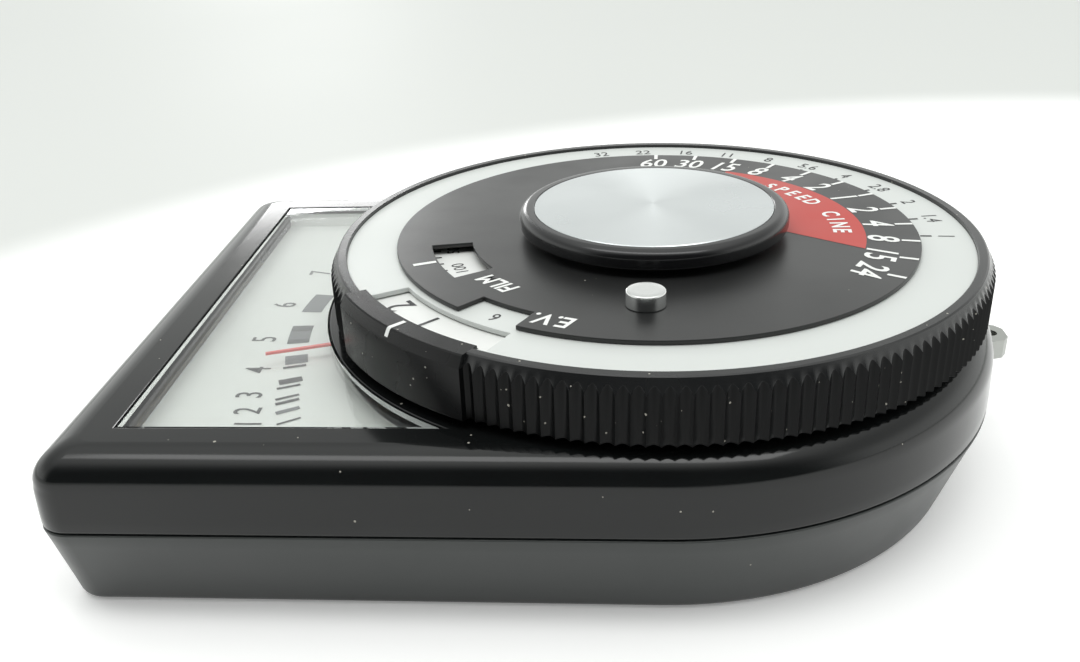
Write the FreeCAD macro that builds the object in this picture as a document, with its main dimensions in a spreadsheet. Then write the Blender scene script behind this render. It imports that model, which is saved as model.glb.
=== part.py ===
import FreeCAD
import Part
import Sketcher
import math
import os
import re

# Sizes in millimetres and degrees. The origin is on the dial axis at the rest plane,
# +X runs to the rounded end, +Z up through the dial.
sizes = {
    # case shells
    "wall": 1.5,
    "split_height": 7.9,
    "case_height": 14.0,
    "half_split": 28.4,
    "half_top": 28.3,
    "half_base": 25.75,
    "end_split": 44.7,
    "end_top": 44.6,
    "end_base": 44.4,
    "corner_split": 2.7,
    "corner_top": 2.6,
    "corner_base": 2.5,
    "no_inset": 0.0,
    "lip_gap": 0.35,
    "lip_thick": 0.65,
    "lip_height": 0.8,
    "top_round": 2.6,
    "end_round": 3.4,
    "corner_round": 1.3,
    "base_round": 1.0,
    "screw_side_x": 8.0,
    "screw_side_y": 22.0,
    "screw_end_x": 20.5,
    "boss_radius": 2.3,
    "screw_radius": 0.8,
    "screw_head": 1.6,
    # meter window, card and plate
    "window_left": 39.0,
    "window_half": 23.7,
    "window_arc": 28.2,
    "window_fit": 0.05,
    "window_flange": 0.6,
    "flange_reach": 0.9,
    "card_left": 39.3,
    "card_half": 24.3,
    "card_drop": 2.5,
    "card_thick": 0.2,
    "lip_rise": 1.6,
    "plate_thick": 0.5,
    "plate_arc": 24.5,
    "card_arc": 27.4,
    "ear_x": 14.0,
    "ear_y": 22.0,
    # light cell in the end wall
    "cell_half": 19.8,
    "cell_lift": 1.9,
    "cell_drop": 1.7,
    "lens_sink": 0.5,
    "lens_gap": 0.2,
    "lens_flange": 0.7,
    "lens_edge": 0.4,
    "contact_thick": 0.2,
    "cell_thick": 0.8,
    # movement
    "pivot_x": 5.0,
    "pointer_angle": 198.9,
    "pointer_length": 28.9,
    "pointer_drop": 0.6,
    "pointer_thick": 0.2,
    "core_radius": 5.0,
    "core_lift": 2.5,
    "core_drop": 3.4,
    "coil_reach": 0.7,
    "yoke_inner": 7.6,
    "yoke_outer": 9.0,
    "coil_inner": 5.35,
    "coil_outer": 6.7,
    "bobbin_wall": 0.3,
    "post_y": 10.8,
    "post_radius": 1.5,
    "bridge_gap": 0.2,
    "bridge_thick": 0.5,
    "staff_radius": 0.35,
    "zero_x": 9.5,
    "zero_throw": 0.5,
    # dial
    "ring_radius": 27.5,
    "ring_gap": 0.7,
    "ring_height": 5.0,
    "rim_inner": 26.1,
    "rib_count": 171,
    "rib_depth": 0.35,
    "tab_radius": 27.8,
    "tab_inner": 25.6,
    "tab_start": 209.0,
    "tab_sweep": 31.3,
    "web_drop": 1.3,
    "web_thick": 0.8,
    "axle_radius": 4.0,
    "running": 0.06,
    "number_radius": 25.2,
    "number_thick": 0.4,
    "annulus_thick": 0.4,
    "annulus_inner": 19.2,
    "speed_radius": 21.87,
    "speed_thick": 0.35,
    "bush_radius": 5.0,
    "stud_radius": 1.5,
    "stud_height": 1.2,
    "stud_x": -1.0,
    "stud_y": -15.9,
    "cap_neck": 9.0,
    "cap_radius": 11.35,
    "neck_height": 0.6,
    "cap_height": 1.6,
    "disc_radius": 10.1,
    "disc_crown": 0.06,
    "lug_end": 30.8,
    "lug_thick": 1.7,
}

# heights and reaches that follow from the sizes
levels = {
    "bridge_top": "case_height - wall - bridge_gap",
    "bridge_bottom": "bridge_top - bridge_thick",
    "pointer_level": "bridge_bottom - pointer_drop",
    "card_level": "case_height - wall - card_drop",
    "cell_bottom": "wall + cell_lift",
    "cell_top": "case_height - wall - cell_drop",
    "lens_face": "end_split - lens_sink",
    "lens_back": "end_top - wall - lens_gap",
    "core_bottom": "wall + core_lift",
    "core_top": "bridge_bottom - core_drop",
    "coil_bottom": "core_bottom - coil_reach",
    "coil_top": "core_top + coil_reach",
    "ring_bottom": "case_height + ring_gap",
    "ring_top": "ring_bottom + ring_height",
    "rib_top": "ring_top - 0.8",
    "web_top": "ring_top - web_drop",
    "web_bottom": "web_top - web_thick",
    "axle_top": "web_top + 0.1",
    "plate_level": "axle_top + number_thick + 0.1",
    "speed_level": "plate_level + annulus_thick + 0.05",
    "bush_top": "speed_level + speed_thick + 0.05",
    "stud_top": "speed_level + speed_thick + stud_height",
    "cap_shoulder": "bush_top + neck_height",
    "cap_top": "cap_shoulder + cap_height",
    "disc_top": "cap_top + disc_crown",
    "lug_bottom": "split_height + 0.1",
    "lug_top": "lug_bottom + lug_thick",
}

doc = FreeCAD.newDocument("LightMeter")
sheet = doc.addObject("Spreadsheet::Sheet", "Sizes")
for row, (alias, number) in enumerate(sizes.items(), 1):
    sheet.set("A%d" % row, alias)
    sheet.set("B%d" % row, str(number))
    sheet.setAlias("B%d" % row, alias)
doc.recompute()
nodes = []


def size(name):
    return total(levels[name]) if name in levels else float(sheet.get(name))


def total(text):
    # works out a sum of words and products, such as "wall + 0.2 * top_round"
    value = 0.0
    term = 1.0
    empty = True
    for word in text.split():
        if word in "+-":
            value += 0.0 if empty else term
            term = -1.0 if word == "-" else 1.0
            empty = True
        elif word != "*":
            term *= size(word) if word in sizes or word in levels else float(word)
            empty = False
    return value + term


def linked(text):
    def spell(found):
        word = found.group()
        if word in levels:
            return "(" + linked(levels[word]) + ")"
        return "Sizes." + word if word in sizes else word
    return re.sub(r"[a-z][a-z_]*", spell, text)


def bind(item, links):
    for place, text in links.items():
        item.setExpression(place, linked(text))


def keep(item, label):
    item.Label = label
    nodes.append(item)
    return item


def originPart(body, role):
    return [part for part in body.Origin.OriginFeatures if part.Role == role][0]


def newSketch(body, name, role, lift):
    sketch = body.newObject("Sketcher::SketchObject", name)
    sketch.AttachmentSupport = [(originPart(body, role), "")]
    sketch.MapMode = "FlatFace"
    bind(sketch, {"AttachmentOffset.Base.z": lift})
    return sketch


def fix(sketch, kind, where, text):
    index = sketch.addConstraint(Sketcher.Constraint(kind, *where, total(text)))
    sketch.setExpression("Constraints[%d]" % index, linked(text))


def polygon(body, name, role, corners, lift="0"):
    # a closed outline whose every corner is held by the sheet
    sketch = newSketch(body, name, role, lift)
    spots = [FreeCAD.Vector(total(across), total(up), 0) for across, up in corners]
    count = len(spots)
    for index in range(count):
        sketch.addGeometry(Part.LineSegment(spots[index], spots[(index + 1) % count]), False)
    for index in range(count):
        sketch.addConstraint(Sketcher.Constraint("Coincident", index, 2, (index + 1) % count, 1))
    for index, (across, up) in enumerate(corners):
        fix(sketch, "DistanceX", (-1, 1, index, 1), across)
        fix(sketch, "DistanceY", (-1, 1, index, 1), up)
    return sketch


def turned(name, corners, x="0", y="0"):
    # a body turned about its own upright axis
    body = doc.addObject("PartDesign::Body", name)
    sketch = polygon(body, name + "_section", "XZ_Plane", corners)
    turn = body.newObject("PartDesign::Revolution", name + "_turn")
    turn.Profile = sketch
    turn.ReferenceAxis = (originPart(body, "Z_Axis"), [""])
    turn.Angle = 360
    sketch.Visibility = False
    bind(body, {"Placement.Base.x": x, "Placement.Base.y": y})
    return body


def flat(name, corners, bottom, thick, x="0", y="0", angle="0"):
    # a sheet piece: one outline padded upwards
    body = doc.addObject("PartDesign::Body", name)
    sketch = polygon(body, name + "_outline", "XY_Plane", corners, bottom)
    pad = body.newObject("PartDesign::Pad", name + "_pad")
    pad.Profile = sketch
    bind(pad, {"Length": thick})
    sketch.Visibility = False
    bind(body, {"Placement.Base.x": x, "Placement.Base.y": y, "Placement.Rotation.Angle": angle})
    return body


def caseOutline(body, name, half, end, corner, inset, lift):
    # D-shaped outline: half circle about the dial axis, straight sides, square end;
    # every word of the inset is taken off
    sketch = newSketch(body, name, "XY_Plane", lift)
    inset = inset.replace("+", "-")
    side = total(half + " - " + inset)
    left = total(end + " - " + inset)
    bend = total(corner + " - " + inset)
    point = FreeCAD.Vector
    up = point(0, 0, 1)
    sketch.addGeometry([
        Part.ArcOfCircle(Part.Circle(point(0, 0, 0), up, side), -math.pi / 2, math.pi / 2),
        Part.LineSegment(point(0, side, 0), point(bend - left, side, 0)),
        Part.ArcOfCircle(Part.Circle(point(bend - left, side - bend, 0), up, bend), math.pi / 2, math.pi),
        Part.LineSegment(point(-left, side - bend, 0), point(-left, bend - side, 0)),
        Part.ArcOfCircle(Part.Circle(point(bend - left, bend - side, 0), up, bend), math.pi, 1.5 * math.pi),
        Part.LineSegment(point(bend - left, -side, 0), point(0, -side, 0)),
    ], False)
    for index in range(6):
        sketch.addConstraint(Sketcher.Constraint("Tangent", index, 2, (index + 1) % 6, 1))
    sketch.addConstraint(Sketcher.Constraint("Coincident", 0, 3, -1, 1))
    sketch.addConstraint(Sketcher.Constraint("Vertical", 3))
    sketch.addConstraint(Sketcher.Constraint("Horizontal", 1))
    sketch.addConstraint(Sketcher.Constraint("Equal", 2, 4))
    fix(sketch, "Radius", (0,), half + " - " + inset)
    fix(sketch, "Radius", (2,), corner + " - " + inset)
    fix(sketch, "DistanceX", (3, 1, -1, 1), end + " - " + inset)
    sketch.Visibility = False
    return sketch


def loft(body, name, kind, outlines):
    shape = body.newObject("PartDesign::" + kind, name)
    shape.Profile = outlines[0]
    shape.Sections = outlines[1:]
    shape.Ruled = True
    return shape


def cylinder(name, radius, bottom, top, x="0", y="0"):
    item = doc.addObject("Part::Cylinder", name)
    bind(item, {"Radius": radius, "Height": "(%s) - (%s)" % (top, bottom),
                "Placement.Base.x": x, "Placement.Base.y": y, "Placement.Base.z": bottom})
    return item


def block(name, left, right, near, far, bottom, top):
    item = doc.addObject("Part::Box", name)
    bind(item, {"Length": "(%s) - (%s)" % (right, left), "Width": "(%s) - (%s)" % (far, near),
                "Height": "(%s) - (%s)" % (top, bottom),
                "Placement.Base.x": left, "Placement.Base.y": near, "Placement.Base.z": bottom})
    return item


def join(name, items):
    item = doc.addObject("Part::MultiFuse", name)
    item.Shapes = items
    item.Refine = True
    return item


def cut(name, base, tools):
    item = doc.addObject("Part::Cut", name)
    item.Base = base
    item.Tool = tools[0] if len(tools) == 1 else join(name + "_tools", tools)
    return item


def group(name, items):
    item = doc.addObject("Part::Compound", name)
    item.Links = items
    return item


def sector(name, inner, outer, start, sweep, bottom, top):
    # a piece of a flat ring about the dial axis
    wedge = cylinder(name + "_wedge", outer, bottom, top)
    bind(wedge, {"Angle": sweep, "Placement.Rotation.Angle": start})
    return cut(name, wedge, [cylinder(name + "_core", inner, bottom + " - 1", top + " + 1")])


def windowSlab(name, left, half, arc, bottom, top, right="-5"):
    # the slab between the square end and an arc about the dial axis
    slab = block(name + "_slab", "-(%s)" % left, right, "-(%s)" % half, half, bottom, top)
    return cut(name, slab, [cylinder(name + "_arc", arc, bottom + " - 1", top + " + 1")])


# ---- back shell
backBody = doc.addObject("PartDesign::Body", "back_shell")
backOutlines = []
for step, (rise, inset) in enumerate([("0", "0.62"), ("0.12", "0.26"), ("0.35", "0.02")]):
    part = " - %s * base_round" % inset
    backOutlines.append(caseOutline(backBody, "back_outline%d" % step, "half_base" + part, "end_base" + part,
                                    "corner_base" + part, "no_inset", rise + " * base_round"))
backOutlines.append(caseOutline(backBody, "back_outline3", "half_split", "end_split", "corner_split",
                                "no_inset", "split_height"))
loft(backBody, "back_solid", "AdditiveLoft", backOutlines)
doc.recompute()
hollowLow = caseOutline(backBody, "back_hollow_low", "half_base", "end_base", "corner_base", "wall", "wall")
hollowHigh = caseOutline(backBody, "back_hollow_high", "half_split", "end_split", "corner_split",
                         "wall", "split_height")
loft(backBody, "back_hollow", "SubtractiveLoft", [hollowLow, hollowHigh])
doc.recompute()

lipBody = doc.addObject("PartDesign::Body", "back_lip")
lipOuter = caseOutline(lipBody, "lip_outer", "half_split", "end_split", "corner_split",
                       "wall + lip_gap", "split_height - 1.2")
lipPad = lipBody.newObject("PartDesign::Pad", "lip_pad")
lipPad.Profile = lipOuter
bind(lipPad, {"Length": "lip_height + 1.2"})
lipInner = caseOutline(lipBody, "lip_hole", "half_split", "end_split", "corner_split + 1",
                       "wall + lip_gap + lip_thick", "split_height - 1.2")
lipPocket = lipBody.newObject("PartDesign::Pocket", "lip_pocket")
lipPocket.Profile = lipInner
lipPocket.Reversed = True
bind(lipPocket, {"Length": "lip_height + 1.2"})
doc.recompute()

screwSpots = [("-screw_side_x", "-screw_side_y"), ("-screw_side_x", "screw_side_y"), ("screw_end_x", "0")]
backAdds = [backBody, lipBody]
backCuts = []
frontAdds = []
frontCuts = []
for index, (x, y) in enumerate(screwSpots):
    tag = "screw%d_" % index
    backAdds.append(cylinder(tag + "back_boss", "boss_radius", "wall - 0.2", "split_height", x, y))
    backCuts.append(cylinder(tag + "back_hole", "screw_radius + 0.1", "-1", "split_height + 1", x, y))
    backCuts.append(cylinder(tag + "back_sink", "screw_head + 0.15", "-1", "wall", x, y))
    frontAdds.append(cylinder(tag + "front_boss", "boss_radius", "split_height",
                              "case_height - wall + 0.2", x, y))
    frontCuts.append(cylinder(tag + "front_hole", "screw_radius", "split_height - 1",
                              "case_height - wall - 0.4", x, y))
backAdds.append(block("cell_rib", "-38.9", "-37.9", "-14", "14", "wall - 0.2",
                      "card_level - plate_thick - 2"))
backCuts.append(block("back_cell_opening", "-end_split - 2", "-lens_back + 0.9",
                      "-cell_half - window_fit", "cell_half + window_fit",
                      "cell_bottom - window_fit", "split_height + 2"))
backCuts.append(block("back_foot_room", "-lens_back - 0.05", "-lens_back + 0.9",
                      "-cell_half - 0.85", "cell_half + 0.85", "cell_bottom - lens_edge", "split_height + 2"))
backCuts.append(block("back_lug_opening", "24.4", "29.5", "-3.4", "3.4", "split_height", "split_height + 2"))
backCuts.append(cylinder("zero_well", "1.7", "-1", "1", "-zero_x"))
backCuts.append(cylinder("zero_hole", "0.96", "0.5", "wall + 1", "-zero_x"))
platePegs = [("-12.4", "-7.4"), ("-12.4", "7.4")]
for index, (x, y) in enumerate(platePegs):
    backCuts.append(cylinder("plate_peg%d" % index, "0.5", "0.6", "wall + 1", x, y))
keep(cut("back_case", join("back_whole", backAdds), backCuts), "back_case")

# ---- front shell
frontBody = doc.addObject("PartDesign::Body", "front_shell")
frontOutlines = [caseOutline(frontBody, "front_outline", "half_split", "end_split", "corner_split",
                             "no_inset", "split_height"),
                 caseOutline(frontBody, "front_outline_end", "half_top", "end_top", "corner_top",
                             "no_inset", "case_height - end_round")]
# share of the side rounding's height, and of each rounding's reach, at every step
roundSteps = [("0", "0", "0.028"), ("0.34", "0.06", "0.13"), ("0.64", "0.24", "0.31"),
              ("0.87", "0.5", "0.56"), ("0.98", "0.8", "0.83"), ("1", "1", "1")]
for step, (rise, side, end) in enumerate(roundSteps):
    frontOutlines.append(caseOutline(frontBody, "front_outline%d" % step, "half_top - %s * top_round" % side,
                                     "end_top - %s * end_round" % end, "corner_top - %s * corner_round" % side,
                                     "no_inset", "case_height - top_round + %s * top_round" % rise))
loft(frontBody, "front_solid", "AdditiveLoft", frontOutlines)
doc.recompute()
innerLow = caseOutline(frontBody, "front_hollow_low", "half_split", "end_split", "corner_split",
                       "wall", "split_height")
innerHigh = caseOutline(frontBody, "front_hollow_high", "half_top", "end_top", "corner_top",
                        "wall", "case_height - wall")
loft(frontBody, "front_hollow", "SubtractiveLoft", [innerLow, innerHigh])
doc.recompute()
frontAdds.insert(0, frontBody)
frontAdds.append(cylinder("dial_axle", "axle_radius", "case_height - 0.5", "axle_top"))
frontCuts.append(windowSlab("window_opening", "window_left + window_fit", "window_half + window_fit",
                            "window_arc - window_fit", "case_height - wall - 0.5", "case_height + 1"))
frontCuts.append(block("front_cell_opening", "-end_split - 2", "-lens_back + 0.9",
                       "-cell_half - window_fit", "cell_half + window_fit",
                       "split_height - 1", "cell_top + window_fit"))
frontCuts.append(block("front_lug_opening", "25.4", "30", "-2", "2", "split_height - 1", "lug_top + 0.05"))
frontCuts.append(cylinder("axle_hole", "1.3", "case_height - 0.4", "axle_top + 1"))
for index, side in enumerate(["-", ""]):
    frontAdds.append(cylinder("ear%d" % index, "1.1", "card_level", "case_height - wall + 0.2",
                              "-ear_x", side + "ear_y"))
    frontCuts.append(cylinder("ear_hole%d" % index, "0.45", "card_level - 1", "case_height - wall - 0.5",
                              "-ear_x", side + "ear_y"))
keep(cut("front_case", join("front_whole", frontAdds), frontCuts), "front_case")

# ---- case screws, driven from the back
caseScrews = []
for index, (x, y) in enumerate(screwSpots):
    tag = "case_screw%d" % index
    head = turned(tag + "_body", [("0", "0.3"), ("screw_head", "0.3"), ("screw_head", "wall"),
                                  ("screw_radius", "wall"), ("screw_radius", "case_height - wall - 1"),
                                  ("0", "case_height - wall - 0.6")], x, y)
    caseScrews.append(cut(tag, head, [block(tag + "_slot", x + " - 2", x + " + 2", y + " - 0.2", y + " + 0.2",
                                            "0", "0.7")]))
keep(group("case_screws", caseScrews), "case_screws")

# ---- cord lug
lugTab = flat("lug_tab", [("25.5", "- 1.9"), ("29.1", "- 1.9"), ("lug_end - 0.5", "- 1.5"),
                          ("lug_end", "- 0.8"), ("lug_end", "0.8"), ("lug_end - 0.5", "1.5"),
                          ("29.1", "1.9"), ("25.5", "1.9")],
              "lug_bottom", "lug_top - lug_bottom")
lugHead = block("lug_head", "24.6", "25.6", "-3.2", "3.2", "lug_bottom", "lug_top")
keep(cut("strap_lug", join("lug_whole", [lugTab, lugHead]),
         [cylinder("lug_eye", "0.6", "lug_bottom - 1", "lug_top + 1", "29.5")]), "strap_lug")

# ---- meter window, card and plate
windowTop = windowSlab("window_plug", "window_left", "window_half", "window_arc",
                       "case_height - wall - 0.1", "case_height - 0.05")
windowBase = windowSlab("window_foot", "window_left + flange_reach", "window_half + flange_reach",
                        "window_arc - 0.6", "case_height - wall - window_flange", "case_height - wall")
keep(join("meter_window", [windowTop, windowBase]), "meter_window")

cardFlat = windowSlab("card_flat", "card_left", "card_half", "card_arc",
                      "card_level", "card_level + card_thick")
cardLips = []
for index, (near, far) in enumerate([("-card_half", "-card_half + card_thick"),
                                     ("card_half - card_thick", "card_half")]):
    cardLips.append(block("card_lip%d" % index, "-card_left", "-17.5", near, far,
                          "card_level", "card_level + lip_rise"))
keep(join("scale_card", [cardFlat] + cardLips), "scale_card")
plateSlab = windowSlab("plate_slab", "card_left", "card_half", "plate_arc",
                       "card_level - plate_thick", "card_level", "-ear_x + 2.2")
plateHoles = []
scaleScrews = []
for index, side in enumerate(["-", ""]):
    plateHoles.append(cylinder("plate_hole%d" % index, "0.55", "card_level - 2", "card_level + 1",
                               "-ear_x", side + "ear_y"))
    scaleScrews.append(turned("scale_screw%d" % index,
                              [("0", "card_level - plate_thick - 0.5"),
                               ("0.9", "card_level - plate_thick - 0.5"),
                               ("0.9", "card_level - plate_thick"), ("0.45", "card_level - plate_thick"),
                               ("0.45", "card_level + 1.2"), ("0", "card_level + 1.4")],
                              "-ear_x", side + "ear_y"))
stopSpots = [("-pivot_x + 21 * cos(pointer_angle + 17.3)", "21 * sin(pointer_angle + 17.3)"),
             ("-pivot_x + 21 * cos(pointer_angle - 54.3)", "21 * sin(pointer_angle - 54.3)")]
stops = []
for index, (x, y) in enumerate(stopSpots):
    plateHoles.append(cylinder("stop_hole%d" % index, "0.3", "card_level - 2", "card_level + 1", x, y))
    stops.append(cylinder("stop%d" % index, "0.3", "card_level - plate_thick", "pointer_level + 0.6", x, y))
keep(cut("scale_plate", plateSlab, plateHoles), "scale_plate")
keep(group("scale_screws", scaleScrews), "scale_screws")
keep(group("pointer_stops", stops), "pointer_stops")

# ---- light cell stack
lensPlate = block("lens_plate", "-lens_face", "-lens_back", "-cell_half", "cell_half",
                  "cell_bottom", "cell_top")
lensFoot = block("lens_foot", "-lens_back", "-lens_back + lens_flange", "-cell_half - 0.8", "cell_half + 0.8",
                 "cell_bottom - lens_edge", "cell_top + lens_edge")
flutes = []
for index in range(10):
    flutes.append(cylinder("lens_flute%d" % index, "2", "cell_bottom", "cell_top", "-lens_face + 1.7",
                           "cell_half * (%d - 4.5) / 5.2" % index))
lensBehind = block("lens_behind", "-lens_back", "0", "-cell_half - 1", "cell_half + 1", "0", "case_height")
lensFront = cut("lens_front", join("lens_flutes", flutes), [lensBehind])
keep(join("cell_window", [lensPlate, lensFoot, lensFront]), "cell_window")
contactSlab = block("contact_slab", "-lens_back + lens_flange", "-lens_back + lens_flange + contact_thick",
                    "-cell_half - 0.4", "cell_half + 0.4", "cell_bottom - 0.3", "cell_top + 0.3")
contactHole = block("contact_hole", "-lens_back", "-lens_back + lens_flange + 2", "-cell_half + 1",
                    "cell_half - 1", "cell_bottom + 0.7", "cell_top - 0.7")
keep(cut("cell_front_contact", contactSlab, [contactHole]), "cell_front_contact")
keep(block("selenium_cell", "-lens_back + lens_flange + contact_thick",
           "-lens_back + lens_flange + contact_thick + cell_thick", "-cell_half", "cell_half",
           "cell_bottom", "cell_top"), "selenium_cell")
springBack = "-lens_back + lens_flange + contact_thick + cell_thick"
springPlate = block("spring_plate", springBack, springBack + " + 0.25", "-cell_half + 2", "cell_half - 2",
                    "cell_bottom + 0.4", "split_height + 0.6")
springFoot = block("spring_foot", springBack + " + 0.2", "-38.9", "-6", "6", "4.5", "4.75")
keep(join("cell_back_contact", [springPlate, springFoot]), "cell_back_contact")

# ---- movement, held by a plate on the floor of the back shell
pivotX = "-pivot_x"
plateOutline = [("- 14.2", "- 9.2"), ("- 6", "- 12.8"), ("- 2", "- 12.8"), ("4.4", "- 5"),
                ("4.4", "5"), ("- 2", "12.8"), ("- 6", "12.8"), ("- 14.2", "9.2")]
movePlate = flat("move_plate", plateOutline, "wall", "0.6")
moveAdds = [movePlate]
moveCuts = [cylinder("plate_zero_hole", "1.6", "0", "4", "-zero_x"),
            cylinder("plate_jewel_hole", "1", "0", "4", pivotX)]
for index, angle in enumerate(["60", "180 + 120", "0"]):
    moveAdds.append(cylinder("yoke_foot%d" % index, "0.65", "wall + 0.3", "core_bottom - 0.4",
                             "-pivot_x + 8.3 * cos(%s)" % angle, "8.3 * sin(%s)" % angle))
for index, (x, y) in enumerate(platePegs):
    moveCuts.append(cylinder("peg_hole%d" % index, "0.55", "0", "4", x, y))
keep(cut("movement_plate", join("movement_whole", moveAdds), moveCuts), "movement_plate")
plateScrews = []
for index, (x, y) in enumerate(platePegs):
    plateScrews.append(turned("plate_screw%d" % index,
                              [("0", "0.7"), ("0.5", "0.7"), ("0.5", "wall + 0.6"), ("1", "wall + 0.6"),
                               ("1", "wall + 1.1"), ("0", "wall + 1.1")], x, y))
keep(group("plate_screws", plateScrews), "plate_screws")

posts = []
bridgeScrews = []
bridgeCuts = [cylinder("bridge_jewel_hole", "1", "bridge_bottom - 1", "bridge_top + 1", pivotX)]
for index, side in enumerate(["-", ""]):
    posts.append(turned("post%d" % index, [("0", "wall + 0.6"), ("post_radius", "wall + 0.6"),
                                           ("post_radius", "bridge_bottom"), ("0.5", "bridge_bottom"),
                                           ("0.5", "bridge_bottom - 2.4"), ("0", "bridge_bottom - 2.4")],
                        pivotX, side + "post_y"))
    bridgeScrews.append(turned("bridge_screw%d" % index,
                               [("0", "bridge_bottom - 2.2"), ("0.5", "bridge_bottom - 2.2"),
                                ("0.5", "bridge_bottom + 0.2"), ("1", "bridge_bottom + 0.2"),
                                ("1", "bridge_top"), ("0", "bridge_top")], pivotX, side + "post_y"))
    bridgeCuts.append(cylinder("bridge_hole%d" % index, "0.5", "bridge_bottom - 1", "bridge_top + 1",
                               pivotX, side + "post_y"))
    bridgeCuts.append(cylinder("bridge_sink%d" % index, "1", "bridge_bottom + 0.2", "bridge_top + 1",
                               pivotX, side + "post_y"))
keep(group("bridge_posts", posts), "bridge_posts")
bridgeBar = flat("bridge_bar", [("- 1.6", "- post_y - 1.7"), ("1.6", "- post_y - 1.7"), ("2", "0"),
                                ("1.6", "post_y + 1.7"), ("- 1.6", "post_y + 1.7"), ("- 2", "0")],
                 "bridge_bottom", "bridge_top - bridge_bottom", pivotX)
keep(cut("upper_bridge", bridgeBar, bridgeCuts), "upper_bridge")
keep(group("bridge_screws", bridgeScrews), "bridge_screws")
keep(turned("jewel_screw_upper", [("0", "bridge_bottom + 0.1"), ("0.35", "bridge_bottom - 0.2"),
                                  ("1", "bridge_bottom - 0.2"), ("1", "bridge_top"), ("0", "bridge_top")],
            pivotX), "jewel_screw_upper")
keep(turned("jewel_screw_lower", [("0", "wall"), ("1", "wall"), ("1", "wall + 0.8"), ("0.35", "wall + 0.8"),
                                  ("0", "wall + 0.5")], pivotX), "jewel_screw_lower")

keep(turned("core_magnet", [("0", "core_bottom"), ("core_radius", "core_bottom"), ("core_radius", "core_top"),
                            ("0", "core_top")], pivotX), "core_magnet")
keep(turned("yoke_ring", [("yoke_inner", "core_bottom - 0.4"), ("yoke_outer", "core_bottom - 0.4"),
                          ("yoke_outer", "core_top + 0.4"), ("yoke_inner", "core_top + 0.4")],
            pivotX), "yoke_ring")
spacers = []
for index, turn in enumerate(["75", "255"]):
    arc = cylinder("spacer_arc%d" % index, "yoke_inner", "core_bottom + 0.6", "core_top - 0.6", pivotX)
    bind(arc, {"Angle": "26", "Placement.Rotation.Angle": "pointer_angle + %s - 13" % turn})
    spacers.append(cut("spacer%d" % index, arc,
                       [cylinder("spacer_core%d" % index, "core_radius", "core_bottom", "core_top", pivotX)]))
keep(group("core_spacers", spacers), "core_spacers")


def loop(name, width, inner, outer, low, lowIn, highIn, high):
    # an upright rectangular frame around the core, lined up with the pointer
    parts = []
    for tag, reach, bottom, top, half in [("out", outer, low, high, width), ("in", inner, lowIn, highIn, "3")]:
        slab = doc.addObject("Part::Box", name + "_" + tag)
        bind(slab, {"Length": "2 * (%s)" % reach, "Width": "2 * (%s)" % half,
                    "Height": "(%s) - (%s)" % (top, bottom), "Placement.Rotation.Angle": "pointer_angle",
                    "Placement.Base.x": "-pivot_x - (%s) * cos(pointer_angle) + (%s) * sin(pointer_angle)"
                    % (reach, half),
                    "Placement.Base.y": "-(%s) * sin(pointer_angle) - (%s) * cos(pointer_angle)"
                    % (reach, half),
                    "Placement.Base.z": bottom})
        parts.append(slab)
    return cut(name, parts[0], [parts[1]])


keep(loop("coil_bobbin", "1.2", "coil_inner", "coil_inner + bobbin_wall",
          "core_bottom - 0.2 - bobbin_wall", "core_bottom - 0.2", "core_top + 0.2",
          "core_top + 0.2 + bobbin_wall"), "coil_bobbin")
keep(loop("coil_winding", "1", "coil_inner + bobbin_wall", "coil_outer", "coil_bottom",
          "core_bottom - 0.2 - bobbin_wall", "core_top + 0.2 + bobbin_wall", "coil_top"), "coil_winding")
staffs = [
    turned("staff_upper", [("0", "coil_top"), ("1.1", "coil_top"), ("1.1", "coil_top + 0.25"),
                           ("staff_radius", "coil_top + 0.25"), ("staff_radius", "bridge_bottom - 0.4"),
                           ("0", "bridge_bottom + 0.05")], pivotX),
    turned("staff_lower", [("0", "coil_bottom"), ("1.1", "coil_bottom"), ("1.1", "coil_bottom - 0.2"),
                           ("staff_radius", "coil_bottom - 0.2"), ("staff_radius", "wall + 1.1"),
                           ("0", "wall + 0.6")], pivotX),
]
keep(group("pivot_staffs", staffs), "pivot_staffs")
needle = flat("needle", [("- 5.2", "- 0.22"), ("0", "- 0.45"), ("8", "- 0.3"), ("pointer_length", "- 0.12"),
                         ("pointer_length", "0.12"), ("8", "0.3"), ("0", "0.45"), ("- 5.2", "0.22")],
              "pointer_level", "pointer_thick", pivotX, "0", "pointer_angle")
crossArm = flat("cross_arm", [("- 0.25", "- 3.6"), ("0.25", "- 3.6"), ("0.25", "3.6"), ("- 0.25", "3.6")],
                "pointer_level", "pointer_thick", pivotX, "0", "pointer_angle")
needleHub = cylinder("needle_hub", "1", "pointer_level - 0.5", "pointer_level + pointer_thick", pivotX)
pointerBore = cylinder("pointer_bore", "staff_radius", "pointer_level - 1", "pointer_level + 1", pivotX)
keep(cut("pointer", join("pointer_whole", [needle, crossArm, needleHub]), [pointerBore]), "pointer")
weights = []
for index, (along, across) in enumerate([("-4.5", "0"), ("0", "-3"), ("0", "3")]):
    x = "-pivot_x + (%s) * cos(pointer_angle) - (%s) * sin(pointer_angle)" % (along, across)
    y = "(%s) * sin(pointer_angle) + (%s) * cos(pointer_angle)" % (along, across)
    weights.append(cylinder("weight%d" % index, "0.6", "pointer_level - 0.8", "pointer_level", x, y))
keep(group("counterweights", weights), "counterweights")


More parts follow.
